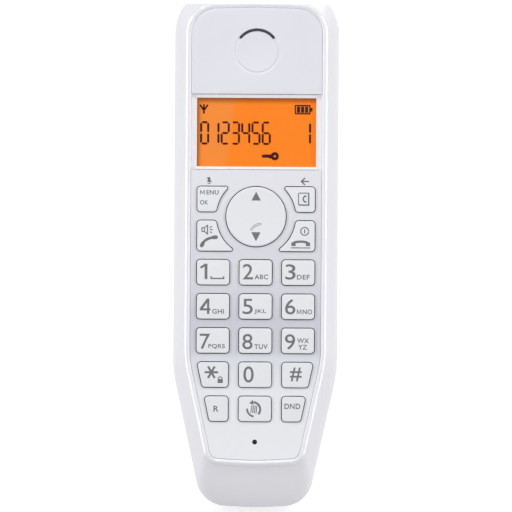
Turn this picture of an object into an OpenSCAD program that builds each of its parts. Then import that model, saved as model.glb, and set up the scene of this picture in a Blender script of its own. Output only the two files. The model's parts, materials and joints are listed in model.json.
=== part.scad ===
// Cordless telephone handset leaning in its charging base.
// The handset is drawn in its own frame: X across, Y from its bottom end to its
// earpiece end, Z from its back (0) to its face. seated() leans it in the base.
// The base is drawn in the frame of the whole part: X across, Y to the rear, Z up.

/* [Handset body] */
// Width across the straight sides
body_w = 50.2; // [50:0.2:56]
// Length from the bottom end to the flat top end
body_h = 153.6; // [152:0.2:160]
// Height of the seam between the two housings above the back
seam_z = 14; // [13:0.5:15]
// Height of the front housing above the seam
front_t = 10; // [9:0.5:11]
// Width at the bottom end, between the two tapered sides
foot_w = 32.4; // [31:0.2:36]
// Start of the taper below the top of the fourth row of keys
taper_lead = 2.7; // [1:0.1:5]
// How far the rounded back edge pulls in
back_inset = 7; // [5:0.25:7.5]
// Wall of the housings
wall = 1.8; // [1.4:0.1:2.2]

/* [Face] */
// Width of the sloping band between the outline and the rim
band_w = 3.35; // [2.6:0.05:3.5]
// Width of the rim round the face
rim_w = 1.75; // [1.2:0.05:1.9]
// Height above the bottom end at which the sloping chin meets the rim
chin_h = 12.5; // [10:0.25:14]
// Thickness of the three face panels
panel_t = 1.2; // [1:0.1:1.5]
// Depth of the panels below the rim
panel_drop = 0.3; // [0.2:0.05:0.6]
// Gap round each panel
panel_gap = 0.12; // [0.08:0.01:0.2]

/* [Display] */
// Height of the display lens
lens_h = 23; // [21:0.25:24]
// Border of the display beside the picture area
screen_side = 1.8; // [1.5:0.1:4]
// Border of the display above and below the picture area
screen_edge = 1; // [0.8:0.1:2.5]

/* [Earpiece] */
// Height of the earpiece panel, from the display lens to the top end
ear_panel_h = 27.6; // [26:0.1:30]
// Distance of the earpiece disc below the top end
ear_drop = 14.5; // [13:0.1:15.5]
// Radius of the dished disc
ear_r = 6.3; // [5:0.1:7]
// Width of the curved sound slot
slot_w = 0.9; // [0.6:0.05:1.2]

/* [Keys] */
// Width of the panel beside the outer columns of keys
key_side = 2.1; // [1.7:0.1:3]
// Width of the panel between two columns
column_bridge = 3.1; // [2.4:0.1:4]
// Height of the panel between two rows
row_bridge = 2.8; // [2:0.1:3.4]
// Lower edge of the last row of keys above the chin
keys_floor = 13.8; // [12:0.1:15]
// Radius of the round navigation key
nav_r = 9.1; // [8:0.1:10]
// Centre of the navigation key below the display lens
nav_drop = 14.3; // [13.6:0.1:15]
// Upper edge of the first row of keys below the centre of the navigation key
nav_rise = 13.2; // [12.5:0.1:13.4]
// Distance between the navigation key and the keys that curve round it
nav_moat = 3.1; // [2.4:0.1:3.4]
// Corner radius of a key
key_r = 1; // [0.6:0.1:1.4]
// Gap round each key
key_gap = 0.25; // [0.2:0.05:0.35]
// Height of a key above the keypad panel
key_rise = 0.7; // [0.5:0.05:0.9]
// Travel of a key
key_travel = 0.6; // [0.4:0.05:0.7]

/* [Battery] */
// Diameter of a cell
cell_d = 10.5; // [10:0.1:10.5]
// Length of a cell
cell_l = 44.5; // [40:0.5:46]
// Thickness of the battery door
door_t = 1.6; // [1.2:0.1:1.8]
// Travel of the battery door
door_travel = 6; // [4:0.5:6.5]

/* [Charging base] */
// Angle at which the handset leans, from the desk
lean_angle = 60; // [57:0.5:63]
// Depth from the handset's lower back corner to the rear wall
base_d = 85; // [80:0.5:92]
// How far up its back the handset is supported
rest_h = 77; // [72:0.5:84]
// Height of the rear wall
rear_h = 18; // [17:0.5:21]
// How far the side rails reach round the handset
rail_t = 3; // [2:0.25:4]
// Wall of the base
base_wall = 2; // [1.6:0.1:2.4]
// Height of the rubber feet
foot_h = 1; // [0.8:0.1:1.6]
// Running clearance between the handset and the base
seat_gap = 0.3; // [0.25:0.05:0.4]

/* [Hidden] */
$fn = 64;
eps = 0.01;

body_colour = [0.93, 0.93, 0.95];
panel_colour = [0.89, 0.89, 0.92];
key_colour = [0.94, 0.94, 0.95];
metal_colour = [0.78, 0.78, 0.8];
board_colour = [0.1, 0.36, 0.2];
rubber_colour = [0.25, 0.25, 0.27];
dark_colour = [0.14, 0.14, 0.16];

// Longer than any cut through the part
through = 1.2 * body_w;

// Stack of heights inside the handset, from the back to the face
face_z = seam_z + front_t;
panel_z = face_z - panel_drop - panel_t;
deck_t = 1.5;
deck_z = panel_z - deck_t;
mat_clear = 0.1;
flange_t = 0.8;
flange_z = panel_z - 0.2 - flange_t;
bump_z = flange_z - key_travel - mat_clear;
mat_t = 0.7;
board_t = 1;
board_z = bump_z - 0.3 - mat_t - board_t;
board_top = board_z + board_t;
mask_t = 0.7;
lcd_t = 1;
mask_z = panel_z - 0.05 - mask_t;
lcd_z = mask_z - 0.05 - lcd_t;
lip_h = 1.2;
lip_t = 0.8;
lip_gap = 0.1;
seam_gap = 0.1;

// Places on the face, from the top end and the chin
half_w = body_w / 2;
rim_half = half_w - band_w;
face_half = rim_half - rim_w;
lens_y = body_h - ear_panel_h - lens_h;
ear_y = body_h - ear_drop;
screen_w = 2 * (face_half - screen_side);
screen_h = lens_h - 2 * screen_edge;
screen_y = lens_y + 0.9 * screen_edge;

// Keys: three columns and five rows share the face, below the curved keys round the navigation key
columns = 3;
rows = 5;
nav_y = lens_y - nav_drop;
keys_top = nav_y - nav_rise;
keys_bottom = chin_h + keys_floor;
key_h = (keys_top - keys_bottom - (rows - 1) * row_bridge) / rows;
pitch_y = key_h + row_bridge;
row_y = keys_top - key_h / 2;
column_edge = face_half - key_side;
key_w = (2 * column_edge - (columns - 1) * column_bridge) / columns;
pitch_x = key_w + column_bridge;
key_field_y0 = keys_bottom - 1.2;
function row_top(row) = keys_top - row * pitch_y;

// Outline of the handset: corners anticlockwise from the bottom, as [x, y, radius]
top_full = body_h + 4.8;
taper_y = row_top(3) - taper_lead;
foot_half = foot_w / 2;
taper = (half_w - foot_half) / taper_y;
outline_corners = [
    [0, -0.1, 70], [foot_half, 0.7, 9.2], [half_w, taper_y, 34], [half_w, top_full, 14],
    [0, top_full + 0.5, 90], [-half_w, top_full, 14], [-half_w, taper_y, 34],
    [-foot_half, 0.7, 9.2]
];
// Outline of the rim round the face, with one corner for each corner above
rim_taper_y = taper_y + 3.4;
rim_foot = rim_half - (rim_taper_y - chin_h) * taper;
rim_top = body_h + 0.15;
rim_corners = [
    [0, chin_h, 70], [rim_foot, chin_h + 0.8, 4.75], [rim_half, rim_taper_y, 34],
    [rim_half, rim_top, 9.65], [0, rim_top + 0.6, 90], [-rim_half, rim_top, 9.65],
    [-rim_half, rim_taper_y, 34], [-rim_foot, chin_h + 0.8, 4.75]
];
corner_steps = [5, 10, 5, 11, 5, 11, 5, 10];

// Curved keys round the navigation key
moat_r = nav_r + nav_moat;
upper_key_h = 7.65;
lower_key_h = 9.25;
upper_near = 1.45;
lower_near = 1.25;
tip_r = 0.45;

// Battery bay
bay_clear = 0.2;
bay_half = cell_d + bay_clear + 0.1;
spring_l = 4;
plate_l = 1;
bay_y0 = 22;
bay_l = cell_l + spring_l + plate_l + 2 * bay_clear;
bay_z1 = door_t + 0.2 + cell_d + 2 * bay_clear;
bay_wall = 1.1;
door_half = bay_half + 1.4;
door_y0 = 7;
door_y1 = bay_y0 + bay_l + 3;
door_gap = 0.2;
tongue_w = 0.7;
tongue_l = 5;
tongue_z = [0.75, 1.4];
tongue_at = [0.2, 0.5, 0.8];

// Charging notches in the bottom corners of the handset, and the prongs in them
notch_top = 5.7;
notch_z = 9;
pad_pocket = 0.5;
pad_t = 0.4;
pin_r = 0.8;
pin_clear = 0.04;
pin_x = door_half + 2.1;
pin_z = 5;
pin_travel = 0.45;
prong_x0 = door_half + 0.5;
prong_x1 = pin_x + 2;
prong_top = notch_top - seat_gap;
prong_z1 = notch_z - 0.5;
pin_tip = notch_top + pad_pocket - seat_gap;

// Seat of the handset in the base, and the base itself
seat_z = 2;
front_reach = face_z * sin(lean_angle) - chin_h * cos(lean_angle);
seat_y = -(base_d - front_reach) / 2;
rear_y = seat_y + base_d;
base_inset = 0.8;
land_d = 16;
sweep_r = 75;
plate_t = 2;
plate_gap = 0.15;
foot_r = 3.5;
foot_sink = 0.5;
screw_r = 1.1;
boss_column_r = 2.8;
vent_l = 16;
rear_corner_r = 9;
rest_corner_r = 7;
// Half the width of the base at floor level, a distance behind the handset's lower back corner
function floor_half(d) =
    half_w - base_inset - taper * max(0, taper_y - d * cos(lean_angle) - seat_z * sin(lean_angle));
front_foot = [floor_half(22) - 6.9, seat_y + 22];
rear_foot = [floor_half(base_d - 11) - 8.5, rear_y - 11];
front_boss = [floor_half(32) - 6.7, seat_y + 32];
rear_boss = [floor_half(base_d - 21) - 6.1, rear_y - 21];
base_board_z = foot_h + plate_t + 0.9;
base_board_t = 1.2;
base_board_l = 38;
weight_h = 5;
socket_floor = base_board_z + base_board_t + 0.05;
socket_side = 15.6;
line_x = socket_side - half_w;
line_w = 13;
line_h = 10.4;
line_d = 14;
plug_w = 9.8;
plug_h = 6.8;
plug_d = 12;
power_x = half_w - socket_side;
power_s = 9;
power_d = 12;
power_hole_r = 3.1;
page_r = 3.6;
page_rise = 0.8;
page_travel = 0.6;
page_z = -land_d / 2;

// ---- Outlines made of arcs ----

function unit(v) = v / norm(v);
function outward(a, b) = let (d = unit(b - a)) [d.y, -d.x];
function angle_of(n) = atan2(n.y, n.x);

// The arc [centre, radius, start, end] that rounds corner q between its neighbours
function corner_arc(p, q, s, r) =
    let (n1 = outward(p, q), n2 = outward(q, s), a1 = angle_of(n1), a2 = angle_of(n2))
    [q - (n1 + n2) * r / (1 + n1 * n2), r, a1, a2 < a1 ? a2 + 360 : a2];

function xy(c) = [c.x, c.y];
function arcs_of(corners) = let (n = len(corners)) [
    for (i = [0:n - 1])
        corner_arc(xy(corners[(i + n - 1) % n]), xy(corners[i]), xy(corners[(i + 1) % n]),
                   corners[i][2])
];

// Points along one arc, whose radius grows with the outline
function arc_points(arc, grow, steps) = [
    for (i = [0:steps - 1])
        let (a = arc[2] + (arc[3] - arc[2]) * i / (steps - 1))
        arc[0] + (arc[1] + grow) * [cos(a), sin(a)]
];

function ring(arcs, grow, steps) =
    [for (k = [0:len(arcs) - 1]) each arc_points(arcs[k], grow, steps[k])];

outline_arcs = arcs_of(outline_corners);
rim_arcs = arcs_of(rim_corners);
function outline(grow) = ring(outline_arcs, grow, corner_steps);
function rim(grow) = ring(rim_arcs, grow, corner_steps);
function face(grow) = rim(grow - rim_w);

// ---- Lofts ----

function at_z(points, z) = [for (p = points) [p.x, p.y, z]];

// A closed skin through rings of points that lie one above another
module loft(rings) {
    n = len(rings[0]);
    last = len(rings) - 1;
    points = [for (r = rings) each r];
    sides = [
        for (j = [0:last - 1]) for (i = [0:n - 1])
            let (k = (i + 1) % n, a = j * n + i, b = j * n + k)
            each [[a, a + n, b + n], [a, b + n, b]]
    ];
    bottom = [for (i = [0:n - 1]) i];
    top = [for (i = [n - 1:-1:0]) last * n + i];
    polyhedron(points = points, faces = concat([bottom, top], sides));
}

// Ring of the front housing: blend 0 is the outline and blend 1 is the rim
function front_ring(z, blend, grow) =
    at_z(outline(grow) * (1 - blend) + rim(grow) * blend, z);

module front_form() {
    slope_z = face_z - 1.4;
    loft([
        front_ring(seam_z + seam_gap, 0, 0),
        front_ring(seam_z + 1.8, 0, 0),
        front_ring(seam_z + 2.7, 0.05, 0),
        front_ring(seam_z + 4.6, 0.27, 0),
        front_ring(seam_z + 6.7, 0.6, 0),
        front_ring(slope_z, 0.92, 0),
        front_ring(slope_z + 0.3, 0.98, 0),
        front_ring(slope_z + 0.6, 1, 0),
        front_ring(face_z - 0.52, 1, 0),
        front_ring(face_z - 0.24, 1, -0.4),
        front_ring(face_z, 1, -1)
    ]);
}

// The back edge of the rear housing is a quarter of an ellipse
function back_pull(z) =
    let (t = (seam_z - z) / seam_z) back_inset * (1 - sqrt(max(0, 1 - t * t)));
back_steps = [0, 0.25, 1, 2.2, 4, 6.5, 10];

module rear_form(grow) {
    loft([
        for (z = back_steps) at_z(outline(grow - back_pull(z)), z - (z == 0 ? grow : 0)),
        at_z(outline(grow), seam_z)
    ]);
}

module below_top() {
    translate([-body_w, -body_w, -body_w]) cube([2 * body_w, body_h + body_w, 2 * body_w]);
}

module slab(z0, z1) {
    translate([0, 0, z0]) linear_extrude(z1 - z0) children();
}

module box(x0, x1, y0, y1, z0, z1) {
    translate([x0, y0, z0]) cube([x1 - x0, y1 - y0, z1 - z0]);
}

module both_sides() {
    children();
    mirror([1, 0, 0]) children();
}

// Leans a piece of the handset in the base
module seated() {
    translate([0, seat_y, seat_z]) rotate([lean_angle, 0, 0]) children();
}

// ---- Handset housings ----

low_boss = [foot_half - 7.2, chin_h + 6];
top_boss = [half_w - 10.1, body_h - 8.1];
boss_spots = [for (s = [low_boss, top_boss]) for (side = [1, -1]) [side * s.x, s.y]];
boss_r = 2.2;
thread_r = 0.85;

// Everything short of the wall at the flat top end
module inside_top() {
    translate([-body_w, -body_w, -body_w])
        cube([2 * body_w, body_h - wall + body_w, 2 * body_w]);
}

module boss_set(r, z0, z1) {
    for (s = boss_spots) translate([s.x, s.y, z0]) cylinder(r = r, h = z1 - z0, $fn = 32);
}

module front_cavity() {
    intersection() {
        loft([
            front_ring(seam_z - 1, 0, -wall),
            front_ring(seam_z + 2, 0, -wall),
            front_ring(deck_z, 0.8, -wall)
        ]);
        inside_top();
    }
}

// Windows in the deck under the face panels
module deck_windows() {
    ledge = 1.1;
    bar = 1.3;
    intersection() {
        slab(deck_z - 1, panel_z + 1) polygon(face(-ledge));
        union() {
            box(-half_w, half_w, key_field_y0, lens_y - bar, 0, face_z);
            box(-half_w, half_w, lens_y + bar - 0.6, lens_y + lens_h - bar + 0.6, 0, face_z);
            translate([0, ear_y, 0]) cylinder(r = speaker_r + 0.4, h = face_z);
        }
    }
    translate([0, mic_y, 0]) cylinder(r = mic_r + 0.35, h = face_z);
}

module front_housing() {
    color(body_colour) seated() difference() {
        intersection() {
            front_form();
            below_top();
        }
        difference() {
            front_cavity();
            boss_set(boss_r, board_top + 0.05, face_z);
        }
        slab(panel_z, face_z + 1) polygon(face(0));
        deck_windows();
        boss_set(thread_r + 0.05, board_top - 1, board_top + 2);
    }
}

module rear_cavity() {
    intersection() {
        loft([
            for (z = [0, 1, 3, 6, 10])
                at_z(outline(-wall - back_pull(z) * (z == 0 ? 0.8 : 1)), z + wall * (10 - z) / 10),
            at_z(outline(-wall), seam_z + 1)
        ]);
        inside_top();
    }
}

// Blocks of material that the cavity of the rear housing goes round
module rear_blocks() {
    box(-bay_half - bay_wall, bay_half + bay_wall, bay_y0 - bay_wall, bay_y0 + bay_l + bay_wall,
        -1, bay_z1 + bay_wall);
    box(-door_half - tongue_w - 1.2, door_half + tongue_w + 1.2, -1, door_y1 + 2.6, -1,
        door_t + 0.2 + wall * 0.6);
    both_sides() box(door_half - 0.6, half_w, -1, notch_top + pad_pocket + pad_t + 1.3, -1,
                     notch_z + 1.3);
    boss_set(boss_r, -1, board_z - 0.05);
}

// A lip inside the seam keeps the two housings in line
module lip_ring(grow, z0, z1) {
    intersection() {
        slab(z0, z1) difference() {
            polygon(outline(grow - wall - lip_gap));
            polygon(outline(grow - wall - lip_gap - lip_t));
        }
        translate([-body_w, -body_w, 0]) cube([2 * body_w, body_h - wall - 1 + body_w, body_w]);
    }
}

module grille_holes() {
    pitch = 2.6;
    for (i = [-3:3]) for (j = [-3:3]) {
        spot = [(i + j / 2) * pitch, j * pitch * 0.866];
        if (norm(spot) < 3.2 * pitch)
            translate([spot.x, ringer_y + spot.y, -1]) cylinder(r = 0.7, h = wall + 2, $fn = 24);
    }
}

// The door drops in beside its closed place and slides home under these slots
module door_slots() {
    gap = door_gap;
    box(-door_half - gap, door_half + gap, -5, door_y1 + gap, -1, door_t + 0.2);
    box(-8 - gap, 8 + gap, door_y1 - 1, door_y1 + 1.2 + gap, tongue_z[0] - 0.1, door_t + 0.2);
    both_sides() for (t = tongue_at) {
        y = tongue_y(t);
        x = door_half + tongue_w + gap;
        box(0, x, y - door_travel - gap, y + tongue_l + gap, tongue_z[0] - 0.1, door_t + 0.2);
        box(0, x, y - door_travel - gap, y + tongue_l - door_travel + gap, -1, door_t + 0.2);
    }
}

function tongue_y(t) = door_y0 + (door_y1 - door_y0) * t;

module rear_housing() {
    color(body_colour) seated() difference() {
        union() {
            difference() {
                intersection() {
                    rear_form(0);
                    below_top();
                }
                difference() {
                    rear_cavity();
                    rear_blocks();
                }
            }
            lip_ring(0, seam_z - 2.5, seam_z + lip_h);
            lip_ring(lip_gap + 0.05, seam_z - 2.5, seam_z - 0.2);
            boss_set(boss_r, seam_z - 1, board_z - 0.05);
        }
        box(-bay_half, bay_half, bay_y0, bay_y0 + bay_l, -1, bay_z1);
        door_slots();
        both_sides() {
            box(door_half, half_w + 5, -5, notch_top, -1, notch_z);
            box(prong_x0 + 0.3, prong_x1 - 0.5, notch_top - 1, notch_top + pad_pocket + pad_t,
                pin_z - 2.6, pin_z + 2.6);
        }
        boss_set(screw_r + 0.15, -1, board_z + 2);
        boss_set(screw_head_r + 0.2, -1, screw_head_z);
        grille_holes();
    }
}

screw_head_r = 1.6;
screw_head_z = 8;
screw_head_t = 1.3;

module housing_screws() {
    color(metal_colour) seated() for (s = boss_spots) translate([s.x, s.y, screw_head_z]) {
        translate([0, 0, -screw_head_t]) difference() {
            cylinder(r = screw_head_r, h = screw_head_t - 0.02, $fn = 32);
            for (a = [0, 90]) rotate([0, 0, a])
                translate([-0.9, -0.2, -eps]) cube([1.8, 0.4, 0.7]);
        }
        translate([0, 0, -0.1]) cylinder(r = thread_r, h = board_top + 1.6 - screw_head_z, $fn = 32);
    }
}

// ---- Face panels ----

mic_y = chin_h + 7.5;
mic_r = 0.75;
slot_spread = 48;

// The part of the face between two heights, a gap inside its pocket
module face_part(y0, y1) {
    intersection() {
        polygon(face(-panel_gap));
        translate([-half_w, y0]) square([body_w, y1 - y0]);
    }
}

module arc_slot(r, width, spread) {
    rotate([0, 0, 90 - spread]) rotate_extrude(angle = 2 * spread)
        translate([r - width / 2, 0]) square([width, 10]);
    for (a = [90 - spread, 90 + spread])
        translate([r * cos(a), r * sin(a), 0]) cylinder(r = width / 2, h = 10, $fn = 24);
}

module earpiece_cover() {
    color(panel_colour) seated() difference() {
        slab(panel_z, panel_z + panel_t) face_part(lens_y + lens_h + panel_gap / 2, body_h);
        translate([0, ear_y, panel_z - 1]) arc_slot(ear_r + slot_w / 2 + 0.1, slot_w, slot_spread);
        translate([0, ear_y, panel_z + panel_t - 0.25]) difference() {
            cylinder(r = ear_r + 0.6, h = 1);
            translate([0, 0, -1]) cylinder(r = ear_r, h = 3);
        }
    }
}

module display_lens() {
    color([0.9, 0.92, 0.95, 0.35]) seated()
        slab(panel_z, panel_z + panel_t) face_part(lens_y + panel_gap / 2, lens_y + lens_h - panel_gap / 2);
}

module display_mask() {
    color([0.95, 0.95, 0.96]) seated() difference() {
        slab(mask_z, mask_z + mask_t) intersection() {
            polygon(face(-1.25));
            translate([-half_w, lens_y + 0.85]) square([body_w, lens_h - 1.7]);
        }
        box(-screen_w / 2, screen_w / 2, screen_y, screen_y + screen_h, 0, face_z);
    }
}

module lcd_glass() {
    color([0.96, 0.53, 0.16]) seated()
        box(-screen_w / 2 - 0.25, screen_w / 2 + 0.25, screen_y - 0.15, screen_y + screen_h + 0.15,
            lcd_z, lcd_z + lcd_t);
}

module lcd_backlight() {
    color([0.97, 0.96, 0.9]) seated()
        box(-screen_w / 2 - 0.2, screen_w / 2 + 0.2, screen_y, screen_y + screen_h,
            board_top + 0.05, lcd_z - 0.05);
}

// ---- Keys ----

// Arcs of a four-sided key with corners in anticlockwise order
function quad_arcs(p) = arcs_of([for (q = p) [q.x, q.y, key_r]]);

function plain_key(column, row) =
    let (x = column * pitch_x, y = row_y - row * pitch_y, a = key_w / 2, b = key_h / 2)
    quad_arcs([[x - a, y - b], [x + a, y - b], [x + a, y + b], [x - a, y + b]]);

// A key of the lower rows, whose outer side follows the taper. side is -1 or 1
function tapered_key(side, row, edge) =
    let (y = row_y - row * pitch_y, b = key_h / 2, inner = pitch_x - key_w / 2 + 0.2)
    side > 0
        ? quad_arcs([[inner, y - b], [edge - key_h * taper, y - b], [edge, y + b], [inner, y + b]])
        : quad_arcs([[-edge + key_h * taper, y - b], [-inner, y - b], [-inner, y + b], [-edge, y + b]]);

// A right-hand key that curves round the navigation key. up is 1 above its centre line and -1
// below. Its two inner corners are arcs that touch both a straight side and the moat round the
// navigation key, and the long inner side is an arc of the moat itself.
function curved_key_arcs(up, height) =
    let (
        near_y = nav_y + (up > 0 ? upper_near : -lower_near),
        far_y = near_y + up * height,
        outer = column_edge,
        near_c_y = near_y + up * key_r,
        far_c_y = far_y - up * tip_r,
        near_c = [sqrt(pow(moat_r + key_r, 2) - pow(near_c_y - nav_y, 2)), near_c_y],
        far_c = [sqrt(pow(moat_r + tip_r, 2) - pow(far_c_y - nav_y, 2)), far_c_y],
        near_a = angle_of(near_c - [0, nav_y]),
        far_a = angle_of(far_c - [0, nav_y])
    )
    up > 0
        ? [[near_c, key_r, 180 + near_a, 270], [[outer - key_r, near_y + key_r], key_r, 270, 360],
           [[outer - key_r, far_y - key_r], key_r, 0, 90], [far_c, tip_r, 90, 180 + far_a],
           [[0, nav_y], -moat_r, 180 + far_a, 180 + near_a]]
        : [[near_c, key_r, 90, 180 + near_a], [[0, nav_y], -moat_r, 180 + near_a, 180 + far_a],
           [far_c, tip_r, 180 + far_a, 270], [[outer - key_r, far_y + key_r], key_r, 270, 360],
           [[outer - key_r, near_y - key_r], key_r, 0, 90]];

function key_ring(arcs, grow) =
    ring(arcs, grow, [for (a = arcs) a[1] < 0 ? 10 : 5]);

key_soft = 0.35;

// A key cap with rounded upper edges, on the flange that keeps it under the keypad panel
module key_form(arcs) {
    top = panel_z + panel_t + key_rise;
    flange = key_ring(arcs, 0.55);
    cap = key_ring(arcs, 0);
    loft([
        at_z(flange, flange_z),
        at_z(flange, flange_z + flange_t),
        at_z(cap, flange_z + flange_t),
        at_z(cap, top - key_soft),
        at_z(key_ring(arcs, -key_soft * 0.3), top - key_soft * 0.3),
        at_z(key_ring(arcs, -key_soft), top)
    ]);
}

// Outer upper corner of a key in the rows beside the taper
function row_edge(row) = column_edge - 0.06 - taper * (rim_taper_y - row_top(row));
star_edge = row_edge(3);
recall_edge = row_edge(4);

module key(arcs) {
    color(key_colour) seated() key_form(arcs);
}

module left_key(arcs) {
    color(key_colour) seated() mirror([1, 0, 0]) key_form(arcs);
}

// The navigation key rocks on its middle, so its flange lies deeper than those of the others
module key_nav() {
    top = panel_z + panel_t + key_rise;
    low = panel_z - 1.3;
    r = nav_r;
    color(key_colour) seated() translate([0, nav_y, 0]) rotate_extrude() polygon([
        [0, low], [r + 0.5, low], [r + 0.5, low + 0.5], [r, low + 0.5], [r, top - 0.4],
        [r - 0.12, top - 0.12], [r - 0.4, top], [r - 1, top], [r - 1.4, top - 0.12], [0, top - 0.3]
    ]);
}

grid_keys = [for (row = [0:2]) for (column = [-1:1]) [column, row]];

module keypad_plate() {
    color(panel_colour) seated() difference() {
        slab(panel_z, panel_z + panel_t) face_part(0, lens_y - panel_gap / 2);
        for (k = grid_keys) slab(0, through) polygon(key_ring(plain_key(k.x, k.y), key_gap));
        for (row = [3, 4]) slab(0, through) polygon(key_ring(plain_key(0, row), key_gap));
        both_sides() {
            slab(0, through) polygon(key_ring(tapered_key(1, 3, star_edge), key_gap));
            slab(0, through) polygon(key_ring(tapered_key(1, 4, recall_edge), key_gap));
            slab(0, through) polygon(key_ring(curved_key_arcs(1, upper_key_h), key_gap));
            slab(0, through) polygon(key_ring(curved_key_arcs(-1, lower_key_h), key_gap));
        }
        translate([0, nav_y, 0]) cylinder(r = nav_r + key_gap, h = through);
        translate([0, mic_y, 0]) cylinder(r = mic_r, h = through, $fn = 32);
    }
}

// Domes of the rubber mat, one under each key
key_spots = concat(
    [for (k = grid_keys) [k.x * pitch_x, row_y - k.y * pitch_y]],
    [for (row = [3, 4]) for (s = [-1, 0, 1]) [s * (pitch_x - (row - 3) * 1.2), row_y - row * pitch_y]],
    [for (s = [-1, 1]) each [
        [s * (column_edge - 3.1), nav_y + 5.2], [s * (column_edge - 3.3), nav_y - 6]
    ]],
    [for (s = [-1, 1]) [0, nav_y + s * nav_r / 2]]
);

module keypad_mat() {
    color([0.8, 0.8, 0.82]) seated() {
        slab(board_top + 0.02, board_top + mat_t) intersection() {
            polygon(face(-2.4));
            translate([-half_w, key_field_y0]) square([body_w, lens_y - key_field_y0 - 2.5]);
        }
        for (s = key_spots) translate([s.x, s.y, board_top + mat_t - eps])
            cylinder(r = 2, h = bump_z - board_top - mat_t, $fn = 24);
    }
}

// ---- Inside the handset ----

ringer_y = ear_y - 26;
speaker_r = 10;
speaker_t = 2.5;
speaker_rim = 1.4;
magnet_t = 1.8;
shield_w = 18;
shield_h = 2.2;
shield_t = 0.3;
shield_y = lens_y - 17;
antenna_half = face_half - 4;
antenna_w = 1.2;
antenna_t = 0.43;

module main_board() {
    color(board_colour) seated() difference() {
        slab(board_z, board_top) polygon(face(-1.9));
        translate([0, ear_y, 0]) cylinder(r = speaker_r + 0.6, h = through);
        boss_set(screw_r + 0.3, 0, through);
    }
}

module rf_shield() {
    color(metal_colour) seated() difference() {
        translate([-shield_w / 2, shield_y, board_z - 0.02 - shield_h])
            cube([shield_w, shield_w, shield_h]);
        translate([shield_t - shield_w / 2, shield_y + shield_t, board_z - 0.02 - shield_h + shield_t])
            cube([shield_w - 2 * shield_t, shield_w - 2 * shield_t, shield_h]);
    }
}

module antenna() {
    top = ear_y - speaker_r - 3;
    z = board_z - 0.02;
    color(metal_colour) seated() {
        box(-antenna_half, antenna_half, top - antenna_w, top, z - antenna_t, z);
        box(-antenna_half, antenna_w - antenna_half, top - 7.5 * antenna_w, top, z - antenna_t, z);
        box(antenna_half - antenna_w, antenna_half, top - 4 * antenna_w, top, z - antenna_t, z);
    }
}

module earpiece_speaker() {
    color(dark_colour) seated() translate([0, ear_y, 0]) {
        translate([0, 0, panel_z - 0.1 - speaker_t]) difference() {
            cylinder(r = speaker_r, h = speaker_t);
            translate([0, 0, speaker_t - 0.6]) cylinder(r = speaker_r - speaker_rim, h = speaker_t);
        }
        translate([0, 0, panel_z - 0.1 - speaker_t - magnet_t])
            cylinder(r = 0.55 * speaker_r, h = magnet_t + eps);
    }
}

module ringer_speaker() {
    color(dark_colour) seated() translate([0, ringer_y, wall + 0.05]) {
        difference() {
            cylinder(r = speaker_r, h = speaker_t);
            translate([0, 0, -eps]) cylinder(r = speaker_r - speaker_rim, h = 0.7);
        }
        translate([0, 0, speaker_t - eps]) cylinder(r = 0.6 * speaker_r, h = magnet_t);
    }
}

module microphone() {
    color(metal_colour) seated() translate([0, mic_y, board_top + 0.2])
        cylinder(r = 2, h = deck_z - board_top - 0.5);
}

module mic_boot() {
    color(rubber_colour) seated() translate([0, mic_y, board_top + 0.05]) difference() {
        cylinder(r = 3, h = deck_z - board_top - 0.1);
        translate([0, 0, 0.1]) cylinder(r = 2.05, h = deck_z - board_top - 0.4);
        cylinder(r = 0.8, h = 10);
    }
}

module cell(side) {
    along = bay_y0 + bay_clear + (side > 0 ? spring_l : plate_l);
    nub = 0.8;
    cell_x = side * (cell_d / 2 + 0.05);
    seated() translate([cell_x, along, door_t + 0.2 + bay_clear + cell_d / 2]) rotate([-90, 0, 0]) {
        color([0.2, 0.45, 0.3]) translate([0, 0, side > 0 ? 0 : nub]) cylinder(d = cell_d, h = cell_l - nub);
        color(metal_colour) translate([0, 0, side > 0 ? cell_l - nub - eps : 0])
            cylinder(r = 1.9, h = nub + eps, $fn = 32);
    }
}

module battery_left() { cell(-1); }
module battery_right() { cell(1); }

// Conical contact springs drawn as stacked rings on a stem
module battery_springs() {
    turns = 4;
    color(metal_colour) seated() for (side = [-1, 1]) {
        y = side > 0 ? bay_y0 + 0.1 : bay_y0 + bay_l - 0.1;
        translate([side * (cell_d / 2 + 0.05), y, door_t + 0.2 + bay_clear + cell_d / 2])
            rotate([side > 0 ? -90 : 90, 0, 0]) {
                translate([-3.5, -3.5, 0]) cube([7, 7, 0.4]);
                for (i = [0:turns - 1]) translate([0, 0, 0.4 + i * 0.85 - eps])
                    rotate_extrude($fn = 32) translate([1.2 + (turns - 1 - i) * 0.45, 0])
                        square([0.6, 0.86]);
            }
    }
}

module battery_plates() {
    color(metal_colour) seated() for (side = [-1, 1]) {
        y = side > 0 ? bay_y0 + bay_l - 0.6 : bay_y0 + 0.1;
        translate([side * (cell_d / 2 + 0.05) - 3.5, y, door_t + bay_clear + 2]) cube([7, 0.5, 7]);
    }
}

module charge_pads() {
    color([0.85, 0.72, 0.4]) seated() both_sides()
        box(prong_x0 + 0.4, prong_x1 - 0.6, notch_top + pad_pocket + 0.02,
            notch_top + pad_pocket + pad_t - 0.02, pin_z - 2.5, pin_z + 2.5);
}

module battery_door() {
    grips = 5;
    color(body_colour) seated() difference() {
        intersection() {
            rear_form(0);
            union() {
                box(-door_half, door_half, door_y0 - 1, door_y1, -eps, door_t);
                box(-8, 8, door_y1 - eps, door_y1 + 1.2, tongue_z[0], tongue_z[1]);
                for (t = tongue_at) translate([0, tongue_y(t), 0])
                    box(-door_half - tongue_w, door_half + tongue_w, 0, tongue_l, tongue_z[0],
                        tongue_z[1]);
            }
        }
        for (i = [0:grips - 1]) translate([-7, door_y0 + 5 + i * 1.8, -0.3]) rotate([0, 90, 0])
            cylinder(r = 0.6, h = 14, $fn = 24);
    }
}

// ---- Charging base ----

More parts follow.
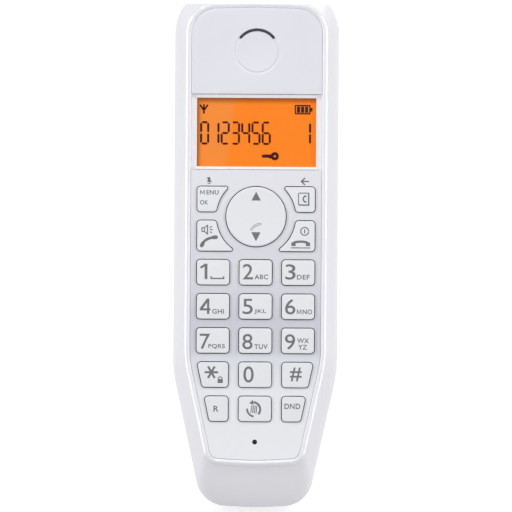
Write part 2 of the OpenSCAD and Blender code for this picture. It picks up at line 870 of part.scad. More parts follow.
// Centre of the hollow sweep behind the base: an arc from the back edge of the land down to the
// top of the rear wall
land_edge = [
    seat_y + rest_h * cos(lean_angle) + land_d * sin(lean_angle),
    seat_z + rest_h * sin(lean_angle) - land_d * cos(lean_angle)
];
rear_edge = [rear_y, rear_h];
sweep_chord = rear_edge - land_edge;
sweep_mid = (rear_edge + land_edge) / 2;
sweep_out = unit([-sweep_chord.y, sweep_chord.x]);
sweep_centre = sweep_mid + sweep_out * sqrt(pow(sweep_r, 2) - pow(norm(sweep_chord) / 2, 2));

// The solid form of the base, pulled in by inset
module base_form(inset) {
    low_z = 150;
    difference() {
        intersection() {
            seated() slab(-low_z, rail_t - inset) intersection() {
                polygon(outline(-base_inset - inset));
                rest_plan(inset);
            }
            slab(foot_h, 200) base_plan(inset);
        }
        translate([-100, sweep_centre[0], sweep_centre[1]]) rotate([0, 90, 0])
            cylinder(r = sweep_r + inset, h = 200, $fn = 180);
    }
}

// The base seen along the lean of the handset's face: rounded at its two upper corners
module rest_plan(inset) {
    x = half_w - base_inset - inset;
    y = rest_h - inset;
    r = rest_corner_r - inset;
    corners = [[-x, -1, 0.5], [x, -1, 0.5], [x, y, r], [-x, y, r]];
    polygon(ring(arcs_of(corners), 0, [2, 2, 8, 8]));
}

// Plan of the base: rounded at its rear corners
module base_plan(inset) {
    x = half_w - inset;
    y = rear_y - inset;
    corners = [[-x, seat_y - 60, 1], [x, seat_y - 60, 1], [x, y, rear_corner_r - inset],
               [-x, y, rear_corner_r - inset]];
    polygon(ring(arcs_of(corners), 0, [2, 2, 9, 9]));
}

// Room for the handset: its own back with a running clearance, open at the bottom end so that
// the battery door can slide while the handset stands in the base
module handset_room() {
    seated() {
        rear_form(seat_gap);
        box(-door_half - 0.4, door_half + 0.4, -5, 14, -seat_gap, rail_t + 1);
        box(-half_w, half_w, -5, notch_top + 1.5, -seat_gap, rail_t + 1);
    }
}

module prong() {
    difference() {
        intersection() {
            box(prong_x0, prong_x1, 0, prong_top, -seat_gap - 1, prong_z1);
            slab(-20, 20) polygon(outline(-0.4));
        }
        translate([pin_x, prong_top + 1, pin_z]) rotate([90, 0, 0])
            cylinder(r = pin_r + pin_clear, h = 3, $fn = 32);
    }
}

module boss_column(spot, r) {
    intersection() {
        translate([spot.x, spot.y, foot_h + plate_t + 0.1]) cylinder(r = r, h = 80, $fn = 32);
        base_form(base_wall / 2);
    }
}

module base_shell() {
    color(body_colour) difference() {
        union() {
            difference() {
                base_form(0);
                base_cavity();
                handset_room();
            }
            seated() both_sides() prong();
            difference() {
                both_sides() {
                    boss_column(front_boss, boss_column_r);
                    boss_column(rear_boss, boss_column_r);
                }
                handset_room();
            }
        }
        both_sides() for (s = [front_boss, rear_boss])
            translate([s.x, s.y, 0]) cylinder(r = thread_r + 0.05, h = 11, $fn = 32);
        line_window();
        power_window();
        seated() translate([0, rest_h + 1, page_z]) rotate([90, 0, 0])
            cylinder(r = page_r + 0.25, h = base_wall + 2);
    }
}

// The hollow of the base keeps a wall behind the handset
module base_cavity() {
    intersection() {
        union() {
            base_form(base_wall);
            translate([0, 0, -1]) intersection() {
                base_form(base_wall);
                slab(foot_h, foot_h + 3) square(400, center = true);
            }
        }
        seated() slab(-150, -seat_gap - base_wall) square(400, center = true);
    }
}

module line_window() {
    box(line_x - line_w / 2 - 0.1, line_x + line_w / 2 + 0.1, rear_y - 3, rear_y + 1,
        socket_floor, socket_floor + line_h + 0.1);
}

module power_window() {
    box(power_x - power_s / 2 - 0.1, power_x + power_s / 2 + 0.1, rear_y - 3, rear_y + 1,
        socket_floor, socket_floor + power_s + 0.1);
}

module base_plate() {
    color(body_colour) difference() {
        intersection() {
            slab(foot_h, foot_h + plate_t) square(400, center = true);
            base_form(base_wall + plate_gap);
            seated() slab(-150, -seat_gap - base_wall - plate_gap) square(400, center = true);
        }
        both_sides() {
            for (s = [front_foot, rear_foot]) translate([s.x, s.y, 0])
                cylinder(r = foot_r + 0.05, h = foot_h + foot_sink);
            for (s = [front_boss, rear_boss]) translate([s.x, s.y, 0]) {
                cylinder(r = screw_r + 0.15, h = 10, $fn = 32);
                cylinder(r = 2.2, h = foot_h + 1.2, $fn = 32);
            }
        }
        for (i = [-3:3]) translate([i * 3.2, rear_boss.y - vent_l + 1, foot_h + plate_t / 2])
            cube([1.2, vent_l, 5 * plate_t], center = true);
    }
    color(body_colour) both_sides() for (y = [rear_y - base_board_l + 3, rear_y - 12])
        translate([rear_boss.x - 5.1, y, foot_h + plate_t - 0.1])
            cylinder(r = 1.2, h = base_board_z - foot_h - plate_t + 0.05, $fn = 24);
}

module base_feet() {
    color(rubber_colour) both_sides() for (s = [front_foot, rear_foot]) translate([s.x, s.y, 0])
        cylinder(r = foot_r, h = foot_h + foot_sink - 0.02);
}

module base_screws() {
    color(metal_colour) both_sides() for (s = [front_boss, rear_boss])
        translate([s.x, s.y, foot_h + 0.2]) {
            difference() {
                cylinder(r = 2, h = 0.95, $fn = 32);
                for (a = [0, 90]) rotate([0, 0, a]) translate([-1.1, -0.25, -eps]) cube([2.2, 0.5, 0.6]);
            }
            translate([0, 0, 0.9]) cylinder(r = thread_r, h = 7.5, $fn = 32);
        }
}

module base_board() {
    color(board_colour) difference() {
        intersection() {
            box(-half_w, half_w, rear_y - base_board_l, rear_y, base_board_z,
                base_board_z + base_board_t);
            base_form(base_wall + 0.6);
        }
        both_sides() translate([rear_boss.x, rear_boss.y, 0])
            cylinder(r = boss_column_r + 0.3, h = through, $fn = 32);
        translate([0, rear_y, 0]) both_sides()
            box(half_w - rear_corner_r - 3.6, half_w, -rear_corner_r, 1, 0, through);
    }
}

module base_weight() {
    x = front_boss.x - 4;
    z = foot_h + plate_t + 0.05;
    color(metal_colour) box(-x, x, front_foot.y, rear_y - base_board_l - 3, z, z + weight_h);
}

module line_socket() {
    mid_z = socket_floor + line_h / 2;
    color(dark_colour) difference() {
        box(line_x - line_w / 2, line_x + line_w / 2, rear_y - line_d, rear_y, socket_floor,
            socket_floor + line_h);
        box(line_x - plug_w / 2, line_x + plug_w / 2, rear_y - plug_d, rear_y + 1,
            mid_z - plug_h / 2 + 0.6, mid_z + plug_h / 2 + 0.6);
        box(line_x - 1.6, line_x + 1.6, rear_y - 5, rear_y + 1, mid_z - plug_h / 2 - 1,
            mid_z);
    }
}

module power_inlet() {
    mid_z = socket_floor + power_s / 2;
    color(dark_colour) difference() {
        box(power_x - power_s / 2, power_x + power_s / 2, rear_y - power_d, rear_y,
            socket_floor, socket_floor + power_s);
        translate([power_x, rear_y + 1, mid_z]) rotate([90, 0, 0])
            cylinder(r = power_hole_r, h = 10);
    }
    color(metal_colour) translate([power_x, rear_y - 0.8, mid_z]) rotate([90, 0, 0])
        cylinder(r = 0.7, h = 9, $fn = 24);
}

module charge_pin() {
    color([0.85, 0.72, 0.4]) seated() translate([pin_x, pin_tip, pin_z]) rotate([90, 0, 0]) {
        translate([0, 0, 0.25]) cylinder(r = pin_r, h = pin_tip - prong_top + 0.9, $fn = 32);
        cylinder(r = pin_r - 0.25, h = 0.3, $fn = 32);
    }
}

module charge_pin_right() { charge_pin(); }
module charge_pin_left() { mirror([1, 0, 0]) charge_pin(); }

module page_key() {
    color(key_colour) seated() translate([0, rest_h + page_rise, page_z]) rotate([90, 0, 0]) {
        cylinder(r = page_r - 0.3, h = 0.3);
        translate([0, 0, 0.25]) cylinder(r = page_r, h = base_wall + page_rise);
        translate([0, 0, page_rise + base_wall + 0.2]) cylinder(r = page_r + 1, h = 0.8);
    }
}

// ---- Nodes ----

front_housing();
rear_housing();
earpiece_cover();
display_lens();
display_mask();
lcd_glass();
lcd_backlight();
keypad_plate();
keypad_mat();
main_board();
rf_shield();
antenna();
earpiece_speaker();
ringer_speaker();
microphone();
mic_boot();
battery_left();
battery_right();
battery_springs();
battery_plates();
charge_pads();
housing_screws();
battery_door();
key(plain_key(-1, 0));  // key_1
key(plain_key(0, 0));  // key_2
key(plain_key(1, 0));  // key_3
key(plain_key(-1, 1));  // key_4
key(plain_key(0, 1));  // key_5
key(plain_key(1, 1));  // key_6
key(plain_key(-1, 2));  // key_7
key(plain_key(0, 2));  // key_8
key(plain_key(1, 2));  // key_9
left_key(tapered_key(1, 3, star_edge));  // key_star
key(plain_key(0, 3));  // key_0
key(tapered_key(1, 3, star_edge));  // key_hash
left_key(tapered_key(1, 4, recall_edge));  // key_recall
key(plain_key(0, 4));  // key_redial
key(tapered_key(1, 4, recall_edge));  // key_quiet
left_key(curved_key_arcs(1, upper_key_h));  // key_menu
key(curved_key_arcs(1, upper_key_h));  // key_book
left_key(curved_key_arcs(-1, lower_key_h));  // key_talk
key(curved_key_arcs(-1, lower_key_h));  // key_end
key_nav();
base_shell();
base_plate();
base_feet();
base_board();
base_weight();
base_screws();
line_socket();
power_inlet();
charge_pin_left();
charge_pin_right();
page_key();
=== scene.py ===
# %% [markdown]
# # A cordless handset leaning in its charging stand
# The phone is a slim white handset with a raised rim round its face. It leans at 60 degrees
# in a small wedge-shaped stand. The solid model gives every piece its place and size, and the
# first cell loads it as a fixed frame. What follows gives each visible piece its final surface
# and its finish: fine rounded edges, crowned key caps, printed legends and a lit display.

# %% Load the frame
import json
import math

import bmesh
import bpy
import numpy as np
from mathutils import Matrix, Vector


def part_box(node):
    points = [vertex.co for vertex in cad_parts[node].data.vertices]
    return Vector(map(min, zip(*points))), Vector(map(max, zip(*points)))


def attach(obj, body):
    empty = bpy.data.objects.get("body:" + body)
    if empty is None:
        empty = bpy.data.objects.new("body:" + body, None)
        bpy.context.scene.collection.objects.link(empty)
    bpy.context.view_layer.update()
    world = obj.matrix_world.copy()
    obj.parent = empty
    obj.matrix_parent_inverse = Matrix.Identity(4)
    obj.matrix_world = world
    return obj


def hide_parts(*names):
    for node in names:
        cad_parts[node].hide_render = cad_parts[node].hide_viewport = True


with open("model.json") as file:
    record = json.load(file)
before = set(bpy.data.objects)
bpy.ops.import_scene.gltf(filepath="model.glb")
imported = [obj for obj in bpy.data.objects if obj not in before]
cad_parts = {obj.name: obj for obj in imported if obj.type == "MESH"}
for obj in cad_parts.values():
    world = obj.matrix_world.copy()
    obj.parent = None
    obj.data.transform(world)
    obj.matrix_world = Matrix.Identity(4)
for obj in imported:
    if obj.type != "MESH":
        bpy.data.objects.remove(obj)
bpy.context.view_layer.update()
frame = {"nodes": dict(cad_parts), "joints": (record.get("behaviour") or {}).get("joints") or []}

scene = bpy.context.scene
scene.view_settings.view_transform = "Standard"

# %% [markdown]
# ## The handset's own frame
# Everything on the handset is easier to draw as if it lay on its back on the desk: u runs
# across, v runs from its bottom end to its earpiece end, and w rises from its back to its face,
# all in millimetres. One function then leans the points. It could read a fixed angle, but the
# joint that lifts the handset already states the direction of v, so the angle comes from there,
# and the origin comes from the display glass, a plain block whose centre is known in both frames.

# %% From handset millimetres to the desk
MM = 0.001
lift = next(j for j in frame["joints"] if j["name"] == "handset_lift")
ALONG = np.array(lift["axis"], float)
OUT = np.array([0.0, -ALONG[2], ALONG[1]])
ACROSS = np.array([1.0, 0.0, 0.0])
GLASS_V, GLASS_W = 114.4, 21.2
glass_low, glass_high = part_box("lcd_glass")
glass_centre = np.array((glass_low + glass_high) / 2)
SEAT = glass_centre - MM * (GLASS_V * ALONG + GLASS_W * OUT)


def leaning(points):
    """Handset points (u, v, w) in millimetres as points on the desk in metres: the seat plus u
    along the width, v along the lean and w out of the face."""
    u, v, w = np.moveaxis(np.asarray(points, float), -1, 0)
    return SEAT + MM * (u[..., None] * ACROSS + v[..., None] * ALONG + w[..., None] * OUT)


print("seat in mm", np.round(SEAT / MM, 3), "lean", round(math.degrees(math.asin(ALONG[2])), 2))

# %% [markdown]
# ## Camera
# The handset is seen square on to its face, so the camera stands on the line that leaves the
# middle of the face at a right angle, far away and with a long lens, as a catalogue picture
# would be taken. Its up direction is the handset's length, but for a very small roll.

# %% Camera
VIEW_SPAN = 156.2
VIEW_DISTANCE = 3000.0
VIEW_CENTRE = (0.06, 76.7, 20.0)
VIEW_ROLL = math.radians(0.36)


def shown(name, data):
    """An object in the scene, at the origin."""
    made = bpy.data.objects.new(name, data)
    scene.collection.objects.link(made)
    return made


def aimed(holder, side, up, back, spot):
    """Puts a camera or a lamp at a spot, with its own three axes along these directions."""
    axes = np.eye(4)
    axes[:3] = np.column_stack([side, up, back, spot])
    holder.matrix_world = axes.T.tolist()


camera_data = bpy.data.cameras.new("camera")
camera_data.sensor_width = 36.0
camera_data.lens = camera_data.sensor_width * VIEW_DISTANCE / VIEW_SPAN
camera_data.clip_end = 20.0
camera = shown("camera", camera_data)
aimed(camera, math.cos(VIEW_ROLL) * ACROSS + math.sin(VIEW_ROLL) * ALONG,
      math.cos(VIEW_ROLL) * ALONG - math.sin(VIEW_ROLL) * ACROSS, OUT,
      leaning(VIEW_CENTRE) + MM * VIEW_DISTANCE * OUT)
scene.camera = camera
print("lens", round(camera_data.lens, 1), "mm")

# %% [markdown]
# ## Finishes as expressions
# A finish in Blender is a web of small nodes. Written one by one they hide what they mean, so
# a Wire wraps the output of a node and knows plus, minus and times, each of which adds a Math
# node. A Finish holds one material and makes every other node through a single method.

# %% Wire and Finish
class Wire:
    """The output of a node, which can be used in an expression."""

    def __init__(self, finish, socket):
        self.finish, self.socket = finish, socket

    def __add__(self, other):
        return self.finish.maths("ADD", self, other)

    def __sub__(self, other):
        return self.finish.maths("SUBTRACT", self, other)

    def __rsub__(self, other):
        return self.finish.maths("SUBTRACT", other, self)

    def __mul__(self, other):
        return self.finish.maths("MULTIPLY", self, other)

    __radd__ = __add__
    __rmul__ = __mul__


class Finish:
    """One material under construction."""

    def __init__(self, name, tree=None):
        if tree is None:
            self.material = bpy.data.materials.new(name)
            self.material.use_nodes = True
            tree = self.material.node_tree
        self.tree = tree
        self.tree.nodes.clear()

    def node(self, kind, settings=None, sockets=None, output=0):
        """Adds a node: its settings first, then a value or a wire for each socket."""
        made = self.tree.nodes.new("ShaderNode" + kind)
        for key, value in (settings or {}).items():
            if key == "stops":
                ramp = made.color_ramp.elements
                while len(ramp) < len(value):
                    ramp.new(1.0)
                for stop, (position, colour) in zip(ramp, value):
                    stop.position, stop.color = position, (*colour, 1)
            else:
                setattr(made, key, value)
        for key, value in (sockets or {}).items():
            if isinstance(value, Wire):
                self.tree.links.new(value.socket, made.inputs[key])
            else:
                made.inputs[key].default_value = value
        return Wire(self, made.outputs[output]) if made.outputs else None

    def maths(self, operation, first, second):
        return self.node("Math", {"operation": operation}, {0: first, 1: second})

    def place(self):
        """Where a point lies on the piece, in metres."""
        return self.node("TexCoord", output="Object")

    def noise(self, cells_per_mm, detail=2.0, roughness=0.5, stretch=(1, 1, 1)):
        """Soft noise from 0 to 1 with that many cells in a millimetre."""
        scaled = self.node("Mapping", {}, {"Vector": self.place(), "Scale": stretch})
        return self.node("TexNoise", {}, {"Vector": scaled, "Scale": cells_per_mm / MM,
                                          "Detail": detail, "Roughness": roughness})

    def measured(self, direction):
        """How far a point lies from the seat along a direction, in millimetres."""
        along = self.node("VectorMath", {"operation": "DOT_PRODUCT"},
                          {0: self.place(), 1: tuple(direction)}, output=1)
        return along * (1 / MM) - float(np.dot(SEAT, direction)) / MM

    def eased(self, value, start, end):
        """A smooth step from 0 at start to 1 at end."""
        return self.node("MapRange", {"interpolation_type": "SMOOTHSTEP"},
                         {0: value, 1: start, 2: end})

    def shades(self, value, start, end, stops):
        """A row of colours spread over a range of values."""
        share = (value - start) * (1 / (end - start))
        placed = [((at - start) / (end - start), colour[:3]) for at, colour in stops]
        return self.node("ValToRGB", {"stops": placed}, {"Fac": share})

    def blend(self, amount, dark, light):
        """A colour between dark and light."""
        return self.node("Mix", {"data_type": "RGBA"}, {0: amount, 6: dark, 7: light}, output=2)

    def bump(self, height, depth_mm):
        return self.node("Bump", {}, {"Height": height, "Distance": depth_mm * MM})

    def white_rays(self):
        """How many of three kinds a ray is: from the camera, off a gloss, through a clear."""
        kinds = ("Is Camera Ray", "Is Glossy Ray", "Is Transmission Ray")
        return sum([self.node("LightPath", output=kind) for kind in kinds])

    def surface(self, **sockets):
        """The Principled shader, with the socket names written with underscores."""
        named = {key.replace("_", " "): value for key, value in sockets.items()}
        shader = self.node("BsdfPrincipled", {}, named)
        self.node("OutputMaterial", {}, {"Surface": shader})
        return self.material


def srgb(red, green, blue):
    """A screen colour from 0 to 255 as the linear colour that a shader takes."""
    share = np.array([red, green, blue]) / 255
    linear = np.where(share <= 0.04045, share / 12.92, ((share + 0.055) / 1.055) ** 2.4)
    return (*[float(x) for x in linear], 1.0)


def toned(colour, share):
    """A colour with its light multiplied by a share."""
    return (*[min(1.0, c * share) for c in colour[:3]], 1.0)


# %% [markdown]
# ## Moulded plastics
# Most of what shows is ABS from a polished mould: glossy on the housings, satin on the face
# panel and the keys. Moulded plastic is never one flat colour. It has a faint cloudiness from
# the flow, a very fine orange peel that breaks up reflections, and dull patches where hands rub
# it. All three come from noise in real millimetres, so they keep their scale on every piece.

# %% Plastic finishes
# Each noise as cells in a millimetre, detail, and roughness where it isn't the usual one.
FLOW, RUB, PEEL = (0.045, 3), (0.35, 4, 0.6), (1.2, 1)
RUBBED = 0.1
# Heights w over which a key cap turns from its painted gap shade to its white.
GAP_SHADE_W = (22.7, 23.5)


def moulded(name, colour, roughness, peel_mm=0.0015, cloud=0.02, glow=0.0, gap_shade=None):
    """A moulded plastic: colour with faint flow clouds, rubbed patches and orange peel. A
    gap shade is painted shade: a dark colour on a cap below the face panel, in the gap round it."""
    finish = Finish(name)
    flow, rub, peel = finish.noise(*FLOW), finish.noise(*RUB), finish.noise(*PEEL)
    tint = finish.blend(flow, toned(colour, 1 - cloud), toned(colour, 1 + cloud))
    if gap_shade:
        tint = finish.blend(finish.eased(finish.measured(OUT), *GAP_SHADE_W), gap_shade, tint)
    return finish.surface(
        Base_Color=tint,
        Roughness=rub * RUBBED + (roughness - RUBBED / 2),
        Normal=finish.bump(peel, peel_mm),
        Emission_Color=colour,
        Emission_Strength=glow,
    )


shell_white = moulded("shell_gloss_white", srgb(233, 233, 239), 0.2)
# The caps carry painted shade: dark grey below the face panel, in the gaps round the keys.
cap_white = moulded("key_satin_white_painted_gap_shade", srgb(232, 234, 238), 0.36, peel_mm=0.001,
                    gap_shade=srgb(60, 61, 74))
satin_white = moulded("page_satin_white", srgb(232, 234, 238), 0.36, peel_mm=0.001)
# The display frame glows faintly: painted light that lifts it out of the shade of its recess.
frame_white_painted_glow = moulded("frame_satin_white_painted_glow", srgb(246, 246, 248), 0.5, glow=0.12)
guide_white = moulded("light_guide_white", srgb(238, 232, 215), 0.4)
dark_moulding = moulded("socket_black", srgb(38, 38, 42), 0.45, cloud=0.15)

# %% The face panel's painted reflection
# Places along the handset in millimetres, each with its screen colour: a painted reflection,
# lighter towards both ends and greyer round the number keys.
PANEL_PAINTED_REFLECTION = [(12, 240, 241, 245), (36, 234, 235, 240), (46, 221, 223, 230),
                (48.5, 207, 208, 218), (59, 204, 205, 215), (68, 214, 215, 223),
                (71, 217, 218, 225), (82, 219, 220, 227), (94, 227, 228, 233),
                (104, 230, 230, 236)]


def pearl_panel():
    """The face panel's white with a painted reflection along it, greyer round the number keys."""
    finish = Finish("panel_white_painted_reflection")
    flow, peel = finish.noise(*FLOW), finish.noise(*PEEL)
    stops = [(at, srgb(*colour)) for at, *colour in PANEL_PAINTED_REFLECTION]
    painted_reflection = finish.shades(finish.measured(ALONG) + flow * 1.5, PANEL_PAINTED_REFLECTION[0][0],
                            PANEL_PAINTED_REFLECTION[-1][0], stops)
    return finish.surface(
        Base_Color=painted_reflection,
        Roughness=flow * 0.08 + 0.36,
        Normal=finish.bump(peel, 0.001),
    )


panel_white = pearl_panel()
print("plastics", [m.name for m in (shell_white, panel_white, cap_white, dark_moulding)])

# %% [markdown]
# ## Ink, display and metal
# The legends are grey pad printing, which is slightly matt and a little uneven. The display is
# an amber panel lit from behind, so part of its colour is emitted and the rest is reflected:
# that way its recess still throws a shadow on it. Its colour also carries a painted shadow along
# the top and the left edge and a painted reflection on its left part. The lens is a thin clear
# cover.

# %% Other finishes
def grained(name, colour, noise, low, spread, roughness, depth, stretch=(1, 1, 1), **sockets):
    """One noise, given as cells in a millimetre and detail, darkens the colour to a low share,
    spreads the roughness and raises the surface by a depth in millimetres."""
    finish = Finish(name)
    grain = finish.noise(*noise, stretch=stretch)
    return finish.surface(
        Base_Color=finish.blend(grain, toned(colour, low), colour),
        Roughness=grain * spread + roughness,
        Normal=finish.bump(grain, depth),
        **sockets,
    )


def printed(name, colour, roughness=0.6, shine=0.5):
    """Pad-printed ink: nearly even, with small changes of density."""
    return grained(name, colour, (6.0, 2), 0.92, 0.1, roughness, 0.001,
                   Specular_IOR_Level=shine)


def metal(name, colour, roughness, streak=(1, 1, 1)):
    """Drawn or plated metal: streaks along the working direction."""
    return grained(name, colour, (4.0, 3), 0.85, 0.15, roughness, 0.002, streak, Metallic=1.0)


def rubber(name, colour):
    """Moulded rubber: matt, with a fine grain."""
    return grained(name, colour, (3.0, 3), 0.8, 0.15, 0.7, 0.01)


# Where the painted reflection ends (a slanted line) and where the painted shadow lies, in mm.
REFLECTION_SLANT, REFLECTION_EDGE, REFLECTION_BLUR = 0.148, 24.7, 0.25
PAINTED_SHADOW_TOP, PAINTED_SHADOW_LEFT = (122.6, 124.9), (16.9, 18.2)


def lit_panel(name, colour, reflection_colour, shadow_colour, glow):
    """A back-lit film: part of the colour is emitted. It is paler on the left of a slanted line, a
    painted reflection, and darker along the top and the left edge, a painted shadow of its frame."""
    finish = Finish(name)
    fine = finish.noise(3.0, detail=1)
    u, v = finish.measured(ACROSS), finish.measured(ALONG)
    # left: the share of the painted reflection; painted_shadow: the share of the painted shadow.
    left = finish.eased(v * REFLECTION_SLANT - u - REFLECTION_EDGE, -REFLECTION_BLUR, REFLECTION_BLUR)
    painted_shadow = finish.maths("MAXIMUM", finish.eased(v, *PAINTED_SHADOW_TOP), finish.eased(u * -1, *PAINTED_SHADOW_LEFT))
    film = finish.blend(painted_shadow * 0.75, finish.blend(left, colour, reflection_colour), shadow_colour)
    return finish.surface(
        Base_Color=film,
        Roughness=fine * 0.1 + 0.45,
        Specular_IOR_Level=0.15,
        Emission_Color=film,
        Emission_Strength=glow,
    )


def clear_cover(name, colour, alpha):
    """A clear moulded lens: almost nothing but its gloss shows."""
    finish = Finish(name)
    haze = finish.noise(0.5, detail=3)
    return finish.surface(
        Base_Color=finish.blend(haze, toned(colour, 0.97), colour),
        Roughness=haze * 0.03 + 0.04,
        Alpha=haze * 0.01 + alpha,
    )


grey_ink = printed("legend_grey", srgb(112, 113, 117))
segment_ink = printed("segment_brown", srgb(72, 8, 0), 0.5, 0.08)
# The display's amber, then its painted reflection colour, then its painted shadow colour.
amber = lit_panel("display_amber_painted_light", srgb(243, 127, 18), srgb(235, 134, 48), srgb(132, 60, 12), 0.22)
lens_clear = clear_cover("lens_clear", srgb(96, 98, 104), 0.03)
board_green = printed("board_green", srgb(24, 82, 44), 0.35)
cell_green = printed("cell_wrap_green", srgb(46, 112, 70), 0.3)
# Near-black and dark grey sheets that paint the shade inside the mic hole and the earpiece slot.
hole_shade_black = printed("hole_shade_black", srgb(18, 18, 20), 0.8)
slot_shade_grey = printed("slot_shade_grey", srgb(74, 74, 88), 0.8)
tinned = metal("tinned_steel", srgb(196, 197, 202), 0.3)
bright_zinc = metal("zinc_screw", srgb(188, 189, 196), 0.25, streak=(1, 1, 6))
spring_metal = metal("nickel_spring", srgb(200, 196, 188), 0.2)
plated = metal("gold_contact", srgb(222, 180, 96), 0.18)
# The key mat's dark grey is painted shade: it darkens the gaps round the keys.
key_mat = rubber("key_mat_painted_gap_shade", srgb(82, 83, 96))
foot_black = rubber("foot_rubber", srgb(34, 34, 37))
print("finishes", len(bpy.data.materials))

# %% [markdown]
# ## Turning arrays into pieces
# Every new surface below is worked out as whole numpy arrays and handed to one function, which
# makes the mesh, smooths it, keeps its real creases sharp, and says which body carries it.

# %% Mesh helpers
CREASE = math.radians(34)


def finished(mesh, finish):
    """Smooth shading with creases kept where faces meet at a clear angle."""
    mesh.materials.clear()
    mesh.materials.append(finish)
    mesh.shade_smooth()
    mesh.set_sharp_from_angle(angle=CREASE)


def fitted(name, mesh, stands_for=(), body="handset"):
    """Shows a mesh as a piece that rides on its body, and hides the solids it
    stands for."""
    made = shown(name, mesh)
    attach(made, body)
    if stands_for:
        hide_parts(*stands_for)
    return made


def piece(name, points, faces, finish, slot, stands_for=(), body="handset"):
    """A mesh from points in millimetres and faces as lists of point numbers."""
    mesh = bpy.data.meshes.new(name)
    mesh.from_pydata(leaning(points).reshape(-1, 3).tolist(), [], faces)
    finished(mesh, finish)
    return fitted(name, mesh, stands_for, body)


def ring_quads(rings, count, closed=False):
    """Quads between neighbouring rings of count points. Rings that run anticlockwise and rise
    give faces that point outwards."""
    j, i = np.meshgrid(np.arange(rings if closed else rings - 1), np.arange(count),
                       indexing="ij")
    following, across = (j + 1) % rings, (i + 1) % count
    corners = [j * count + i, j * count + across, following * count + across,
               following * count + i]
    return np.stack(corners, axis=-1).reshape(-1, 4).tolist()


def domed(rings, top, bottom):
    """Points and faces of a stack of rings whose ends are closed by a fan of triangles each,
    the last ring's round the point top and the first ring's round the point bottom."""
    levels, count = rings.shape[:2]
    i, last = np.arange(count), (levels - 1) * count
    following = (i + 1) % count
    faces = ring_quads(levels, count)
    faces += np.stack([last + i, last + following, np.full(count, levels * count)], 1).tolist()
    faces += np.stack([following, i, np.full(count, levels * count + 1)], 1).tolist()
    return np.concatenate([rings.reshape(-1, 3), [top, bottom]]), faces


def at_height(flat, w):
    """Flat (u, v) points lifted to the height w."""
    return np.concatenate([flat, np.full((len(flat), 1), float(w))], axis=1)


def arc_path(centre, radius, start, end, steps=24):
    """Points along an arc, from one angle in degrees to another."""
    turn = np.radians(np.linspace(start, end, steps))
    return np.asarray(centre) + radius * np.stack([np.cos(turn), np.sin(turn)], axis=1)


# %% [markdown]
# ## The outline as arcs
# Seen from the front, the handset is one closed line of eight arcs: two wide arcs at its ends,
# large arcs where the straight sides turn into the tapered ones, and round corners. Growing
# every radius by the same amount gives a parallel line, so the rim, the panels and the walls
# all come from two outlines. The rim's outline has one arc for each arc of the outer one, so
# a straight blend between them makes the sloping band.

# %% Outlines
BODY_W, BODY_L = 50.2, 153.6
FOOT_W, TAPER_V = 32.4, 41.6
BAND_W, RIM_W, CHIN_V = 3.35, 1.75, 12.5
HALF_W, FOOT_HALF = BODY_W / 2, FOOT_W / 2
TAPER = (HALF_W - FOOT_HALF) / TAPER_V
RIM_HALF, RIM_TAPER_V = HALF_W - BAND_W, TAPER_V + 3.4
RIM_FOOT = RIM_HALF - (RIM_TAPER_V - CHIN_V) * TAPER
TOP_FULL, RIM_TOP = BODY_L + 4.8, BODY_L + 0.15


def symmetric(right, bottom, top):
    """Corners anticlockwise from the bottom: the right-hand ones and their mirror images."""
    left = [(-u, v, r) for u, v, r in reversed(right)]
    return [bottom, *right, top, *left]


OUTLINE_CORNERS = symmetric([(FOOT_HALF, 0.7, 9.2), (HALF_W, TAPER_V, 34), (HALF_W, TOP_FULL, 14)],
                            (0, -0.1, 70), (0, TOP_FULL + 0.5, 90))
RIM_CORNERS = symmetric([(RIM_FOOT, CHIN_V + 0.8, 4.75), (RIM_HALF, RIM_TAPER_V, 34),
                         (RIM_HALF, RIM_TOP, 9.65)],
                        (0, CHIN_V, 70), (0, RIM_TOP + 0.6, 90))
# How many points each arc has, from the bottom one anticlockwise.
ARC_STEPS = [36, 36, 26, 60, 44, 60, 26, 36]


def corner_arcs(corners):
    """For each corner (u, v, radius) the arc that rounds it: its centre lies back along both
    outward normals, and it turns from the first normal to the second."""
    spots = np.array([c[:2] for c in corners], float)
    radii = np.array([c[2] for c in corners], float)
    along = np.roll(spots, -1, axis=0) - spots
    along /= np.linalg.norm(along, axis=1, keepdims=True)
    after = np.stack([along[:, 1], -along[:, 0]], axis=1)
    before = np.roll(after, 1, axis=0)
    reach = radii / (1 + (before * after).sum(axis=1))
    centres = spots - (before + after) * reach[:, None]
    start = np.degrees(np.arctan2(before[:, 1], before[:, 0]))
    end = np.degrees(np.arctan2(after[:, 1], after[:, 0]))
    end = np.where(end < start, end + 360, end)
    return list(zip(centres, radii, start, end))


def arc_ring(arcs, grow, steps):
    """Points round an outline: each arc turns evenly about its centre, at its radius plus grow."""
    return np.concatenate([arc_path(centre, radius + grow, start, end, count)
                           for (centre, radius, start, end), count in zip(arcs, steps)])


OUTLINE_ARCS, RIM_ARCS = corner_arcs(OUTLINE_CORNERS), corner_arcs(RIM_CORNERS)
print("points round the handset", sum(ARC_STEPS))

# %% [markdown]
# ## Front housing
# The front housing is one moulding: a sloping band round the sides, a rounded rim that stands
# proud of the face, and a chin that slopes down to the bottom end. It could be a box with
# bevels, but then the band could not change its width from the sides to the chin. Instead one
# closed profile is carried round the outline. Each profile point says how far it has moved from
# the outline to the rim, how much it grows, and its height. Cutting the corners of the profile
# twice turns it into a smooth curve.

# %% Profile helpers
WALL = 1.8


